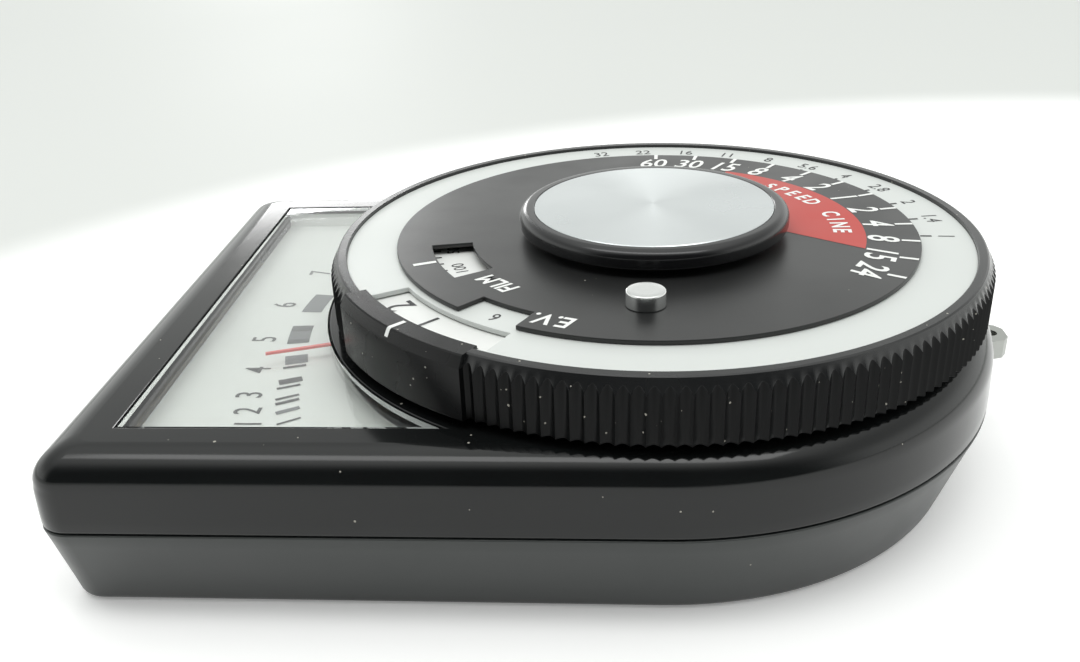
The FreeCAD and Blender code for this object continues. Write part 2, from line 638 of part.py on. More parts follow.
def spiral(name, bottom, inner, outer, turns, start):
    # flat coil spring: a narrow strip between two offset spirals
    steps = int(turns * 24)
    thick = 0.07
    sides = []
    for offset in [thick / 2, -thick / 2]:
        side = []
        for step in range(steps + 1):
            angle = math.radians(start) + math.tau * turns * step / steps
            reach = inner + (outer - inner) * step / steps + offset
            side.append(FreeCAD.Vector(reach * math.cos(angle), reach * math.sin(angle), 0))
        sides.append(side)
    ring = sides[0] + sides[1][::-1]
    strip = Part.Face(Part.makePolygon(ring + [ring[0]])).extrude(FreeCAD.Vector(0, 0, 0.3))
    item = doc.addObject("Part::Feature", name)
    item.Shape = strip
    item.Placement = FreeCAD.Placement(FreeCAD.Vector(-size("pivot_x"), 0, bottom), FreeCAD.Rotation())
    return item


hairInner = size("staff_radius") + 0.05
keep(spiral("hairspring_upper", size("coil_top") + 0.7, hairInner, 3.4, 3.5, 0), "hairspring_upper")
keep(spiral("hairspring_lower", size("wall") + 1.2, hairInner, 2.9, 3.5, 180), "hairspring_lower")

# ---- zero adjuster on the back
zeroTurn = turned("zero_turn", [("0", "0.25"), ("1.6", "0.25"), ("1.6", "1"), ("0.9", "1"),
                                ("0.9", "wall + 0.7"), ("0", "wall + 0.7")], "-zero_x")
zeroPin = cylinder("zero_pin", "0.3", "wall + 0.5", "wall + 1.15", "-zero_x - zero_throw")
zeroSlot = block("zero_slot", "-zero_x - 2", "-zero_x + 2", "-0.2", "0.2", "0", "0.6")
keep(cut("zero_screw", join("zero_whole", [zeroTurn, zeroPin]), [zeroSlot]), "zero_screw")
leverArm = flat("lever_arm", [("- 6.4", "- 1.1"), ("0", "- 1.6"), ("3", "- 0.6"), ("3", "0.6"),
                              ("0", "1.6"), ("- 6.4", "1.1")], "wall + 0.82", "0.25", pivotX)
leverHole = cylinder("lever_hole", "0.75", "wall", "wall + 2", pivotX)
leverSlot = block("lever_slot", "-pivot_x - 7", "-pivot_x - 4", "-0.42", "0.42", "wall", "wall + 2")
keep(cut("zero_lever", leverArm, [leverHole, leverSlot]), "zero_lever")

# ---- range resistor and leads
resistor = doc.addObject("Part::Cylinder", "resistor_body")
resistor.Placement = FreeCAD.Placement(FreeCAD.Vector(), FreeCAD.Rotation(FreeCAD.Vector(-1, 0, 0), 90))
bind(resistor, {"Radius": "1.1", "Height": "6.5", "Placement.Base.x": "6", "Placement.Base.y": "-3.25",
                "Placement.Base.z": "wall + 1.1"})
keep(resistor, "range_resistor")


def lead(spots, radius):
    # a wire bent through the given spots with rounded elbows
    parts = []
    for first, last in zip(spots, spots[1:]):
        start = FreeCAD.Vector(*first)
        run = FreeCAD.Vector(*last) - start
        parts.append(Part.makeCylinder(radius, run.Length, start, run))
    for spot in spots[1:-1]:
        parts.append(Part.makeSphere(radius, FreeCAD.Vector(*spot)))
    return parts[0].fuse(parts[1:]).removeSplitter()


floor = size("wall")
backSpring = total("- lens_back + lens_flange + contact_thick + cell_thick + 0.25")
frontSpring = total("- lens_back + lens_flange + contact_thick")
leads = doc.addObject("Part::Feature", "lead_wires")
leads.Shape = Part.makeCompound([
    lead([(backSpring, -16, 5), (backSpring + 1.2, -16, 5), (backSpring + 1.2, -16, floor + 0.6),
          (-16, -14.6, floor + 0.6), (4, -14.6, floor + 0.6), (6, -6, floor + 1.1),
          (6, -3.25, floor + 1.1)], 0.3),
    lead([(frontSpring, 20.15, 5), (frontSpring + 2, 20.15, 5), (frontSpring + 2, 18, floor + 0.6),
          (-16, 14.6, floor + 0.6), (4, 14.6, floor + 0.6), (6, 6, floor + 1.1), (6, 3.25, floor + 1.1)], 0.3),
])
keep(leads, "lead_wires")

# ---- dial stack
ringBase = turned("ring_base", [
    ("axle_radius + running", "ring_bottom - 0.1"), ("7", "ring_bottom - 0.1"), ("7", "web_bottom"),
    ("ring_radius - 1.6", "web_bottom"), ("ring_radius - 1.6", "ring_bottom"),
    ("ring_radius - rib_depth", "ring_bottom"), ("ring_radius - rib_depth", "rib_top"),
    ("ring_radius", "rib_top"), ("ring_radius", "ring_top - 0.4"), ("ring_radius - 0.4", "ring_top"),
    ("rim_inner", "ring_top"), ("rim_inner", "plate_level"), ("number_radius + 0.2", "plate_level"),
    ("number_radius + 0.2", "web_top"), ("axle_radius + running", "web_top")])
ribs = []
pitch = math.tau / size("rib_count")
crest = size("ring_radius")
root = crest - size("rib_depth")
skirt = []
for index in range(int(size("rib_count"))):
    for part, reach in [(0.0, root), (0.22, root), (0.42, crest), (0.8, crest)]:
        angle = (index + part) * pitch
        skirt.append(FreeCAD.Vector(reach * math.cos(angle), reach * math.sin(angle), 0))
skirtFace = Part.Face(Part.makePolygon(skirt + [skirt[0]]))
skirtHole = Part.Face(Part.Wire([Part.makeCircle(root - 0.5)]))
ribBand = doc.addObject("Part::Feature", "rib_band")
ribBand.Shape = skirtFace.cut(skirtHole).extrude(
    FreeCAD.Vector(0, 0, size("rib_top") - size("ring_bottom")))
ribBand.Placement = FreeCAD.Placement(FreeCAD.Vector(0, 0, size("ring_bottom")), FreeCAD.Rotation())
tabSide = sector("tab_side", "ring_radius - rib_depth - 0.4", "tab_radius", "tab_start", "tab_sweep",
                 "ring_bottom", "ring_top - 0.3")
tabLip = sector("tab_lip", "tab_inner", "ring_radius", "tab_start", "tab_sweep",
                "plate_level + annulus_thick", "ring_top")
keep(join("dial_ring", [ringBase, ribBand, tabSide, tabLip]), "dial_ring")

annulus = turned("annulus", [("annulus_inner", "plate_level"), ("rim_inner", "plate_level"),
                             ("rim_inner", "plate_level + annulus_thick"),
                             ("annulus_inner", "plate_level + annulus_thick")])
keep(cut("aperture_plate", annulus, [sector("aperture", "22.4", "25.5", "210.5", "31.3",
                                            "plate_level - 1", "plate_level + 2")]), "aperture_plate")
keep(turned("number_disc", [("1.35", "axle_top"), ("number_radius", "axle_top"),
                            ("number_radius", "axle_top + number_thick"), ("1.35", "axle_top + number_thick")]),
     "number_disc")
speedDisc = turned("speed_plate", [("bush_radius + running", "speed_level"), ("speed_radius", "speed_level"),
                                   ("speed_radius", "speed_level + speed_thick"),
                                   ("bush_radius + running", "speed_level + speed_thick")])
keep(cut("speed_disc", speedDisc, [
    sector("speed_window", "15.5", "18.9", "190.5", "23", "speed_level - 1", "speed_level + 2"),
    sector("value_window", "19.3", "23", "227.4", "14.6", "speed_level - 1", "speed_level + 2"),
    cylinder("stud_hole", "0.8", "speed_level - 1", "speed_level + 2", "stud_x", "stud_y")]), "speed_disc")
keep(turned("set_stud", [("0", "speed_level"), ("0.8", "speed_level"), ("0.8", "speed_level + speed_thick"),
                         ("stud_radius", "speed_level + speed_thick"), ("stud_radius", "stud_top - 0.3"),
                         ("stud_radius - 0.3", "stud_top"), ("0", "stud_top")], "stud_x", "stud_y"), "set_stud")
keep(turned("ring_washer", [("axle_radius + 0.15", "case_height"), ("6.8", "case_height"),
                            ("6.8", "case_height + 0.3"), ("5.6", "ring_bottom - 0.1"),
                            ("axle_radius + 0.15", "case_height + 0.3")]), "ring_washer")
keep(turned("friction_washer", [("bush_radius + 0.15", "axle_top + number_thick"),
                                ("8.4", "axle_top + number_thick"), ("7", "speed_level"),
                                ("6.4", "speed_level")]), "friction_washer")
keep(turned("centre_bush", [("1.35", "axle_top + number_thick"), ("bush_radius", "axle_top + number_thick"),
                            ("bush_radius", "bush_top"), ("1.35", "bush_top")]), "centre_bush")
keep(turned("centre_cap", [
    ("1.35", "bush_top"), ("cap_neck", "bush_top"), ("cap_neck", "cap_shoulder"),
    ("cap_radius - 0.3", "cap_shoulder"), ("cap_radius", "cap_shoulder + 0.3"),
    ("cap_radius", "cap_top - 0.75"), ("cap_radius - 0.1", "cap_top - 0.4"),
    ("cap_radius - 0.38", "cap_top - 0.12"), ("cap_radius - 0.75", "cap_top"), ("disc_radius", "cap_top"),
    ("disc_radius", "cap_top - 0.35"), ("2.8", "cap_top - 0.35"), ("2.8", "cap_shoulder"),
    ("1.35", "cap_shoulder")]),
    "centre_cap")
keep(turned("cap_disc", [("0", "cap_top - 0.35"), ("disc_radius", "cap_top - 0.35"), ("disc_radius", "cap_top"),
                         ("disc_radius - 0.2", "disc_top"), ("0", "disc_top")]), "cap_disc")
hubTurn = turned("hub_turn", [("0", "case_height + 0.3"), ("1.3", "case_height + 0.3"), ("1.3", "cap_shoulder"),
                              ("2.6", "cap_shoulder"), ("2.6", "cap_top - 0.5"), ("0", "cap_top - 0.5")])
keep(cut("hub_screw", hubTurn, [block("hub_slot", "-3", "3", "-0.25", "0.25", "cap_top - 0.8", "cap_top + 1")]),
     "hub_screw")

doc.recompute()
for item in doc.Objects:
    if "Invalid" in item.State or "Error" in item.State:
        raise RuntimeError(item.Name + " did not build")
os.makedirs("parts", exist_ok=True)
for item in nodes:
    shape = item.Shape
    if shape.isNull() or not shape.isValid():
        raise RuntimeError(item.Label + " has no valid shape")
    shape.exportStep("parts/" + item.Label + ".step")
    print(item.Label, len(shape.Solids), round(shape.Volume, 3))
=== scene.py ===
import math

import bmesh
import bpy
from mathutils import Matrix, Vector


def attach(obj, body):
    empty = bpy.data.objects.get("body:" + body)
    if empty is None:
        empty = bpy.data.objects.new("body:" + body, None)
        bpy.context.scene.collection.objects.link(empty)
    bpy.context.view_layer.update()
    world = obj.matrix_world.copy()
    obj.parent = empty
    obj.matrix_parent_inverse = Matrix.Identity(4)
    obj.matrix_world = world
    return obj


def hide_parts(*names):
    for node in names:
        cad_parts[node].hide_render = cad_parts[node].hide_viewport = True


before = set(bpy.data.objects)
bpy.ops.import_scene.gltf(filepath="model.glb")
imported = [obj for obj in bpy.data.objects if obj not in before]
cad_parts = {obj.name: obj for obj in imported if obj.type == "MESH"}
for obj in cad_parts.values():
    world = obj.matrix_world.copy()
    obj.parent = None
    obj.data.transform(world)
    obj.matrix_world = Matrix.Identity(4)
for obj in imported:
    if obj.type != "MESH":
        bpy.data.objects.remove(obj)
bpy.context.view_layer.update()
mm = 0.001
weldReach = 0.000002  # metres within which a piece's points are joined


# small mesh helpers
def makePiece(name, verts, faces, body, finishes, stands=(), slot=None, sharp=32):
    mesh = bpy.data.meshes.new(name)
    mesh.from_pydata([Vector(v) * mm for v in verts], [], faces)
    bm = bmesh.new()
    bm.from_mesh(mesh)
    bmesh.ops.remove_doubles(bm, verts=bm.verts, dist=weldReach)
    bmesh.ops.recalc_face_normals(bm, faces=bm.faces)
    bm.to_mesh(mesh)
    bm.free()
    piece = bpy.data.objects.new(name, mesh)
    bpy.context.scene.collection.objects.link(piece)
    return dressPiece(piece, body, finishes, stands, sharp)


def keepFlat(piece):
    # level faces are shaded flat, so a soft edge doesn't pull their shading about
    for face in piece.data.polygons:
        if abs(face.normal.z) > 0.9995:
            face.use_smooth = False


def dressPiece(piece, body, finishes, stands=(), sharp=32):
    mesh = piece.data
    mesh.materials.clear()
    for finish in finishes:
        mesh.materials.append(finish)
    mesh.shade_smooth()
    mesh.set_sharp_from_angle(angle=math.radians(sharp))
    if body:
        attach(piece, body)
    if stands:
        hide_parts(*stands)
    return piece


def settle(piece):
    # turns the piece's modifiers into plain mesh
    graph = bpy.context.evaluated_depsgraph_get()
    mesh = bpy.data.meshes.new_from_object(piece.evaluated_get(graph))
    piece.modifiers.clear()
    old = piece.data
    piece.data = mesh
    bpy.data.meshes.remove(old)


def softenEdges(piece, width, finish):
    # breaks the sharp edges, then puts the finish and the shading back
    bevel = piece.modifiers.new("softEdge", "BEVEL")
    bevel.width = width * mm
    bevel.segments = 2
    bevel.limit_method = "ANGLE"
    bevel.angle_limit = math.radians(35)
    settle(piece)
    dressPiece(piece, None, [finish])
    keepFlat(piece)


def polar(radius, angle, z):
    return (radius * math.cos(angle), radius * math.sin(angle), z)


def stackRows(rows, capLow=True, capHigh=True):
    # closed rows of equal length joined by quads
    count = len(rows[0])
    verts = [spot for row in rows for spot in row]
    faces = []
    for step in range(len(rows) - 1):
        for index in range(count):
            other = (index + 1) % count
            faces.append((step * count + index, step * count + other,
                          (step + 1) * count + other, (step + 1) * count + index))
    if capLow:
        faces.append(tuple(range(count - 1, -1, -1)))
    if capHigh:
        faces.append(tuple((len(rows) - 1) * count + index for index in range(count)))
    return verts, faces


def turnedRows(profile, count=192, x=0.0, y=0.0):
    rows = []
    for radius, z in profile:
        rows.append([(x + radius * math.cos(math.tau * step / count),
                      y + radius * math.sin(math.tau * step / count), z) for step in range(count)])
    return rows


def roundCorner(centreR, centreZ, radius, start, end, steps):
    # points of a quarter round in a turned profile, angles in degrees
    return [(centreR + radius * math.cos(math.radians(start + (end - start) * step / steps)),
             centreZ + radius * math.sin(math.radians(start + (end - start) * step / steps)))
            for step in range(steps + 1)]


def caseOutline(half, end, corner, z, arcSteps=72, cornerSteps=10):
    # half circle about the dial axis, straight sides and a square end with rounded corners
    spots = []
    for step in range(arcSteps + 1):
        spots.append(polar(half, -math.pi / 2 + math.pi * step / arcSteps, z))
    for cx, cy, start in ((corner - end, half - corner, math.pi / 2),
                          (corner - end, corner - half, math.pi)):
        for step in range(cornerSteps + 1):
            angle = start + math.pi / 2 * step / cornerSteps
            spots.append((cx + corner * math.cos(angle), cy + corner * math.sin(angle), z))
    return spots


def windowOutline(left, half, arc, z, steps=40):
    spots = [(-left, half, z), (-left, -half, z)]
    reach = math.pi - math.asin(half / arc)
    for step in range(steps + 1):
        spots.append(polar(arc, -reach + (reach - math.pi) * 2 * step / steps, z))
    return spots


def blockPiece(name, low, high):
    (x0, y0, z0), (x1, y1, z1) = low, high
    rows = [[(x0, y0, z), (x1, y0, z), (x1, y1, z), (x0, y1, z)] for z in (z0, z1)]
    return makePiece(name, *stackRows(rows), None, [])


def rodPiece(name, radius, low, high, x, y):
    return makePiece(name, *stackRows(turnedRows([(radius, low), (radius, high)], 48, x, y)), None, [])


def hollowPiece(name, levels):
    return makePiece(name, *stackRows([caseOutline(*level) for level in levels]), None, [])


def carve(piece, cutters):
    for cutter in cutters:
        cut = piece.modifiers.new("cut", "BOOLEAN")
        cut.operation = "DIFFERENCE"
        cut.solver = "EXACT"
        cut.object = cutter
    settle(piece)
    for cutter in cutters:
        bpy.data.objects.remove(cutter)


# node groups shared by the finishes
def newGroup(name, inputs, outputs):
    group = bpy.data.node_groups.new(name, "ShaderNodeTree")
    for label, kind, value in inputs:
        socket = group.interface.new_socket(label, in_out="INPUT", socket_type=kind)
        socket.default_value = value
    for label, kind in outputs:
        group.interface.new_socket(label, in_out="OUTPUT", socket_type=kind)
    return group, group.nodes.new("NodeGroupInput"), group.nodes.new("NodeGroupOutput")


def addNode(tree, kind, **settings):
    node = tree.nodes.new(kind)
    for key, value in settings.items():
        setattr(node, key, value)
    return node


def mathNode(tree, operation, first, second=None):
    node = addNode(tree, "ShaderNodeMath", operation=operation)
    for index, value in enumerate((first, second)):
        if value is None:
            continue
        if isinstance(value, (int, float)):
            node.inputs[index].default_value = value
        else:
            tree.links.new(value, node.inputs[index])
    return node.outputs[0]


def buildGrain():
    # fine moulded or rolled surface: a bumped normal and a slow mottle
    group, source, sink = newGroup("surfaceGrain", [
        ("Grain Scale", "NodeSocketFloat", 4000.0), ("Depth", "NodeSocketFloat", 0.1),
        ("Mottle Scale", "NodeSocketFloat", 120.0)],
        [("Normal", "NodeSocketVector"), ("Mottle", "NodeSocketFloat")])
    place = group.nodes.new("ShaderNodeTexCoord")
    fine = addNode(group, "ShaderNodeTexNoise")
    fine.inputs["Detail"].default_value = 4
    slow = addNode(group, "ShaderNodeTexNoise")
    slow.inputs["Detail"].default_value = 3
    bump = addNode(group, "ShaderNodeBump")
    bump.inputs["Distance"].default_value = 0.00002
    group.links.new(place.outputs["Object"], fine.inputs["Vector"])
    group.links.new(place.outputs["Object"], slow.inputs["Vector"])
    group.links.new(source.outputs["Grain Scale"], fine.inputs["Scale"])
    group.links.new(source.outputs["Mottle Scale"], slow.inputs["Scale"])
    group.links.new(fine.outputs["Fac"], bump.inputs["Height"])
    group.links.new(source.outputs["Depth"], bump.inputs["Strength"])
    group.links.new(bump.outputs["Normal"], sink.inputs["Normal"])
    group.links.new(slow.outputs["Fac"], sink.inputs["Mottle"])
    return group


def buildDust():
    # sparse pale specks of uneven size; stretched, they read as lint and short rub marks
    group, source, sink = newGroup("dustSpecks", [
        ("Cell Scale", "NodeSocketFloat", 900.0), ("Speck Size", "NodeSocketFloat", 0.12),
        ("Cover", "NodeSocketFloat", 0.3), ("Stretch", "NodeSocketVector", (1.0, 1.0, 1.0)),
        ("Lean", "NodeSocketVector", (0.0, 0.0, 0.0))], [("Mask", "NodeSocketFloat")])
    place = group.nodes.new("ShaderNodeTexCoord")
    turned = addNode(group, "ShaderNodeVectorRotate", rotation_type="EULER_XYZ")
    drawn = addNode(group, "ShaderNodeVectorMath", operation="MULTIPLY")
    cells = addNode(group, "ShaderNodeTexVoronoi", feature="F1")
    pick = addNode(group, "ShaderNodeTexWhiteNoise", noise_dimensions="3D")
    group.links.new(place.outputs["Object"], turned.inputs["Vector"])
    group.links.new(source.outputs["Lean"], turned.inputs["Rotation"])
    group.links.new(turned.outputs["Vector"], drawn.inputs[0])
    group.links.new(source.outputs["Stretch"], drawn.inputs[1])
    group.links.new(drawn.outputs[0], cells.inputs["Vector"])
    group.links.new(source.outputs["Cell Scale"], cells.inputs["Scale"])
    group.links.new(cells.outputs["Position"], pick.inputs["Vector"])
    ratio = mathNode(group, "DIVIDE", pick.outputs["Value"], source.outputs["Cover"])
    near = mathNode(group, "LESS_THAN", cells.outputs["Distance"],
                    mathNode(group, "MULTIPLY", source.outputs["Speck Size"], ratio))
    shown = mathNode(group, "LESS_THAN", ratio, 1.0)
    group.links.new(mathNode(group, "MULTIPLY", near, shown), sink.inputs["Mask"])
    return group


def buildSpun():
    # concentric lathe lines about a chosen axis
    group, source, sink = newGroup("latheLines", [
        ("Axis X", "NodeSocketFloat", 0.0), ("Axis Y", "NodeSocketFloat", 0.0),
        ("Lines Per Metre", "NodeSocketFloat", 9000.0), ("Depth", "NodeSocketFloat", 0.2)],
        [("Normal", "NodeSocketVector"), ("Line", "NodeSocketFloat")])
    place = group.nodes.new("ShaderNodeTexCoord")
    split = addNode(group, "ShaderNodeSeparateXYZ")
    group.links.new(place.outputs["Object"], split.inputs[0])
    across = mathNode(group, "SUBTRACT", split.outputs["X"], source.outputs["Axis X"])
    along = mathNode(group, "SUBTRACT", split.outputs["Y"], source.outputs["Axis Y"])
    reach = mathNode(group, "SQRT", mathNode(group, "ADD", mathNode(group, "MULTIPLY", across, across),
                                             mathNode(group, "MULTIPLY", along, along)))
    line = addNode(group, "ShaderNodeTexNoise", noise_dimensions="1D")
    line.inputs["Detail"].default_value = 3
    group.links.new(reach, line.inputs["W"])
    group.links.new(source.outputs["Lines Per Metre"], line.inputs["Scale"])
    bump = addNode(group, "ShaderNodeBump")
    bump.inputs["Distance"].default_value = 0.00001
    group.links.new(line.outputs["Fac"], bump.inputs["Height"])
    group.links.new(source.outputs["Depth"], bump.inputs["Strength"])
    group.links.new(bump.outputs["Normal"], sink.inputs["Normal"])
    group.links.new(line.outputs["Fac"], sink.inputs["Line"])
    return group


grainGroup = buildGrain()
dustGroup = buildDust()
spunGroup = buildSpun()


# finishes
def placeGroup(tree, group, **values):
    node = addNode(tree, "ShaderNodeGroup", node_tree=group)
    for key, value in values.items():
        node.inputs[key.replace("_", " ")].default_value = value
    return node


def mixColours(tree, factor, first, second):
    node = addNode(tree, "ShaderNodeMix", data_type="RGBA")
    for socket, value in ((node.inputs[0], factor), (node.inputs[6], first), (node.inputs[7], second)):
        if isinstance(value, tuple):
            socket.default_value = (*value, 1.0)
        elif isinstance(value, (int, float)):
            socket.default_value = value
        else:
            tree.links.new(value, socket)
    return node.outputs[2]


rubMarks = {"cells": 700.0, "size": 0.05, "stretch": (1.0, 0.05, 1.0), "lean": (0.3, 0.2, 0.8),
            "pale": 0.5, "rough": 0.15}
dustLook = {"colour": (0.5, 0.48, 0.42), "pale": 0.75, "rough": 0.8}


def makeFinish(name, colour, rough, metallic=0.0, vary=0.15, roughVary=0.06, grain=4000.0, depth=0.1,
               mottle=120.0, dust=0.0, dustSize=0.1, dustScale=900.0, scratch=0.0, coat=0.0, spun=None,
               specular=0.5, brushed=0.0):
    finish = bpy.data.materials.new(name)
    finish.use_nodes = True
    tree = finish.node_tree
    shader = tree.nodes["Principled BSDF"]
    shader.inputs["Metallic"].default_value = metallic
    shader.inputs["Specular IOR Level"].default_value = specular
    shader.inputs["Coat Weight"].default_value = coat
    shader.inputs["Coat Roughness"].default_value = 0.08
    surface = placeGroup(tree, grainGroup, Grain_Scale=grain, Depth=depth, Mottle_Scale=mottle)
    deeper = tuple(max(0.0, part * (1 - vary)) for part in colour)
    paler = tuple(min(1.0, part * (1 + vary)) for part in colour)
    shade = mixColours(tree, surface.outputs["Mottle"], deeper, paler)
    rougher = addNode(tree, "ShaderNodeMapRange")
    rougher.inputs["From Min"].default_value = 0.3
    rougher.inputs["From Max"].default_value = 0.7
    rougher.inputs["To Min"].default_value = rough - roughVary
    rougher.inputs["To Max"].default_value = rough + roughVary
    tree.links.new(surface.outputs["Mottle"], rougher.inputs["Value"])
    roughness = rougher.outputs[0]
    normal = surface.outputs["Normal"]
    if spun:
        axisX, axisY, lines, cut = spun
        lathe = placeGroup(tree, spunGroup, Axis_X=axisX, Axis_Y=axisY, Lines_Per_Metre=lines, Depth=cut)
        normal = lathe.outputs["Normal"]
    if scratch:
        marks = placeGroup(tree, dustGroup, Cell_Scale=rubMarks["cells"], Speck_Size=rubMarks["size"],
                           Cover=scratch, Stretch=rubMarks["stretch"], Lean=rubMarks["lean"])
        mask = marks.outputs["Mask"]
        shade = mixColours(tree, mathNode(tree, "MULTIPLY", mask, rubMarks["pale"]), shade,
                           tuple(min(1.0, part * 1.6 + 0.06) for part in colour))
        worn = mathNode(tree, "MULTIPLY", mask, rubMarks["rough"])
        roughness = mathNode(tree, "ADD", roughness, worn)
    if dust:
        specks = placeGroup(tree, dustGroup, Cell_Scale=dustScale, Speck_Size=dustSize, Cover=dust)
        mask = specks.outputs["Mask"]
        pale = mathNode(tree, "MULTIPLY", mask, dustLook["pale"])
        shade = mixColours(tree, pale, shade, dustLook["colour"])
        dusty = mathNode(tree, "MULTIPLY", mask, dustLook["rough"])
        roughness = mathNode(tree, "MAXIMUM", roughness, dusty)
    tree.links.new(shade, shader.inputs["Base Color"])
    tree.links.new(roughness, shader.inputs["Roughness"])
    tree.links.new(normal, shader.inputs["Normal"])
    if brushed:
        # turned metal stretches a highlight across its lathe lines
        shader.inputs["Anisotropic"].default_value = brushed
        along = addNode(tree, "ShaderNodeTangent", direction_type="RADIAL", axis="Z")
        tree.links.new(along.outputs[0], shader.inputs["Tangent"])
    return finish


def makeClear(name, tint, rough, depth=0.05):
    # clear plastic that lets light through to what lies under it
    finish = makeFinish(name, tint, rough, vary=0.01, roughVary=0.01, grain=900.0, depth=depth)
    tree = finish.node_tree
    shader = tree.nodes["Principled BSDF"]
    shader.inputs["Transmission Weight"].default_value = 1.0
    shader.inputs["IOR"].default_value = 1.49
    output = tree.nodes["Material Output"]
    path = addNode(tree, "ShaderNodeLightPath")
    see = addNode(tree, "ShaderNodeBsdfTransparent")
    see.inputs["Color"].default_value = (0.93, 0.95, 0.94, 1.0)
    mix = addNode(tree, "ShaderNodeMixShader")
    tree.links.new(path.outputs["Is Shadow Ray"], mix.inputs[0])
    tree.links.new(shader.outputs[0], mix.inputs[1])
    tree.links.new(see.outputs[0], mix.inputs[2])
    tree.links.new(mix.outputs[0], output.inputs["Surface"])
    return finish


caseBlack = makeFinish("caseBlackMoulding", (0.0065, 0.0073, 0.0074), 0.12, vary=0.2, roughVary=0.03,
                       depth=0.05, dust=0.3, scratch=0.12, specular=0.4)
caseGrey = makeFinish("caseBackMoulding", (0.028, 0.032, 0.031), 0.34, vary=0.12, grain=5200.0, dust=0.06,
                      dustSize=0.08, dustScale=700.0, scratch=0.04)
ringBlack = makeFinish("ringBlackMoulding", (0.012, 0.0125, 0.013), 0.24, vary=0.2, depth=0.08, dust=0.4,
                       dustSize=0.14, dustScale=1500.0)
# the fluted side and the tab take darker, less reflective copies of the ring's black: painted shade on one
# moulding
ringFluteShaded = makeFinish("ringFluteShadedMoulding", (0.004, 0.0043, 0.0045), 0.34, vary=0.25, depth=0.1, dust=0.55,
                       dustSize=0.15, dustScale=1500.0, specular=0.14)
tabShadedBlack = makeFinish("ringTabShadedMoulding", (0.007, 0.0072, 0.0075), 0.3, vary=0.25, depth=0.08, dust=0.5,
                      dustSize=0.15, dustScale=1500.0, specular=0.2)
discDark = makeFinish("discDarkPrint", (0.019, 0.0195, 0.0195), 0.34, vary=0.12, depth=0.06, dust=0.06,
                      dustSize=0.08, dustScale=1300.0)
capBlack = makeFinish("capBlackMoulding", (0.011, 0.011, 0.012), 0.2, depth=0.05, dust=0.1,
                      dustScale=1500.0)
annulusSilver = makeFinish("annulusPaleSilver", (0.66, 0.685, 0.665), 0.5, metallic=0.05, vary=0.03,
                           depth=0.05, dust=0.05, dustSize=0.07)
numberWhite = makeFinish("numberDiscWhite", (0.8, 0.81, 0.79), 0.45, vary=0.03, depth=0.04)
cardWhite = makeFinish("scaleCardWhite", (0.68, 0.7, 0.67), 0.6, vary=0.03, depth=0.15, grain=6000.0)
capSpun = makeFinish("capSpunMetal", (0.66, 0.69, 0.695), 0.24, metallic=1.0, vary=0.02,
                     spun=(0.0, 0.0, 7000.0, 0.35), brushed=0.9)
studMetal = makeFinish("studTurnedMetal", (0.8, 0.81, 0.8), 0.22, metallic=1.0, vary=0.04,
                       spun=(-0.001, -0.0159, 9000.0, 0.4), dust=0.02)
windowClear = makeClear("windowClearAcrylic", (0.97, 0.98, 0.975), 0.02)
lensClear = makeClear("lensFlutedAcrylic", (0.9, 0.93, 0.9), 0.08, depth=0.2)
# pale finish for the window's upright edges: a painted highlight for the light the clear polished edge
# catches
edgeHighlightPaint = makeFinish("windowEdgePaintedHighlight", (0.85, 0.88, 0.87), 0.3, vary=0.03, depth=0.05)
needleRed = makeFinish("needleRedEnamel", (0.72, 0.05, 0.035), 0.35, vary=0.08, depth=0.05, coat=0.3)
printWhite = makeFinish("printWhite", (0.85, 0.86, 0.84), 0.5, vary=0.05, depth=0.1)
printBlack = makeFinish("printBlack", (0.03, 0.03, 0.032), 0.5, vary=0.2, depth=0.1)
printGrey = makeFinish("printGrey", (0.13, 0.135, 0.14), 0.55, vary=0.2, depth=0.1)
printRed = makeFinish("printRed", (0.5, 0.042, 0.03), 0.42, vary=0.06, depth=0.08, dust=0.03)
steelBright = makeFinish("steelBright", (0.6, 0.6, 0.59), 0.28, metallic=1.0, vary=0.08, scratch=0.05)
lugSteel = makeFinish("lugSteel", (0.42, 0.43, 0.41), 0.4, metallic=1.0, vary=0.06, scratch=0.05)
brassTurned = makeFinish("brassTurned", (0.7, 0.52, 0.24), 0.3, metallic=1.0, vary=0.1, scratch=0.04)
ironSoft = makeFinish("ironSoft", (0.33, 0.33, 0.34), 0.42, metallic=1.0, vary=0.15, scratch=0.06)
magnetAlloy = makeFinish("magnetAlloy", (0.27, 0.27, 0.29), 0.5, metallic=1.0, vary=0.2, depth=0.3)
plateAlloy = makeFinish("plateAlloy", (0.74, 0.75, 0.76), 0.35, metallic=1.0, vary=0.05)
seleniumGrey = makeFinish("seleniumGrey", (0.1, 0.11, 0.13), 0.3, metallic=0.8, vary=0.2, depth=0.2)
contactBronze = makeFinish("contactBronze", (0.66, 0.52, 0.3), 0.34, metallic=1.0, vary=0.12)
windingCopper = makeFinish("windingCopper", (0.55, 0.2, 0.08), 0.35, metallic=0.9, vary=0.15, depth=0.4)
resistorTan = makeFinish("resistorTan", (0.55, 0.42, 0.26), 0.5, vary=0.12, depth=0.2)
leadRed = makeFinish("leadInsulation", (0.42, 0.04, 0.03), 0.5, vary=0.1)
print("finishes made")


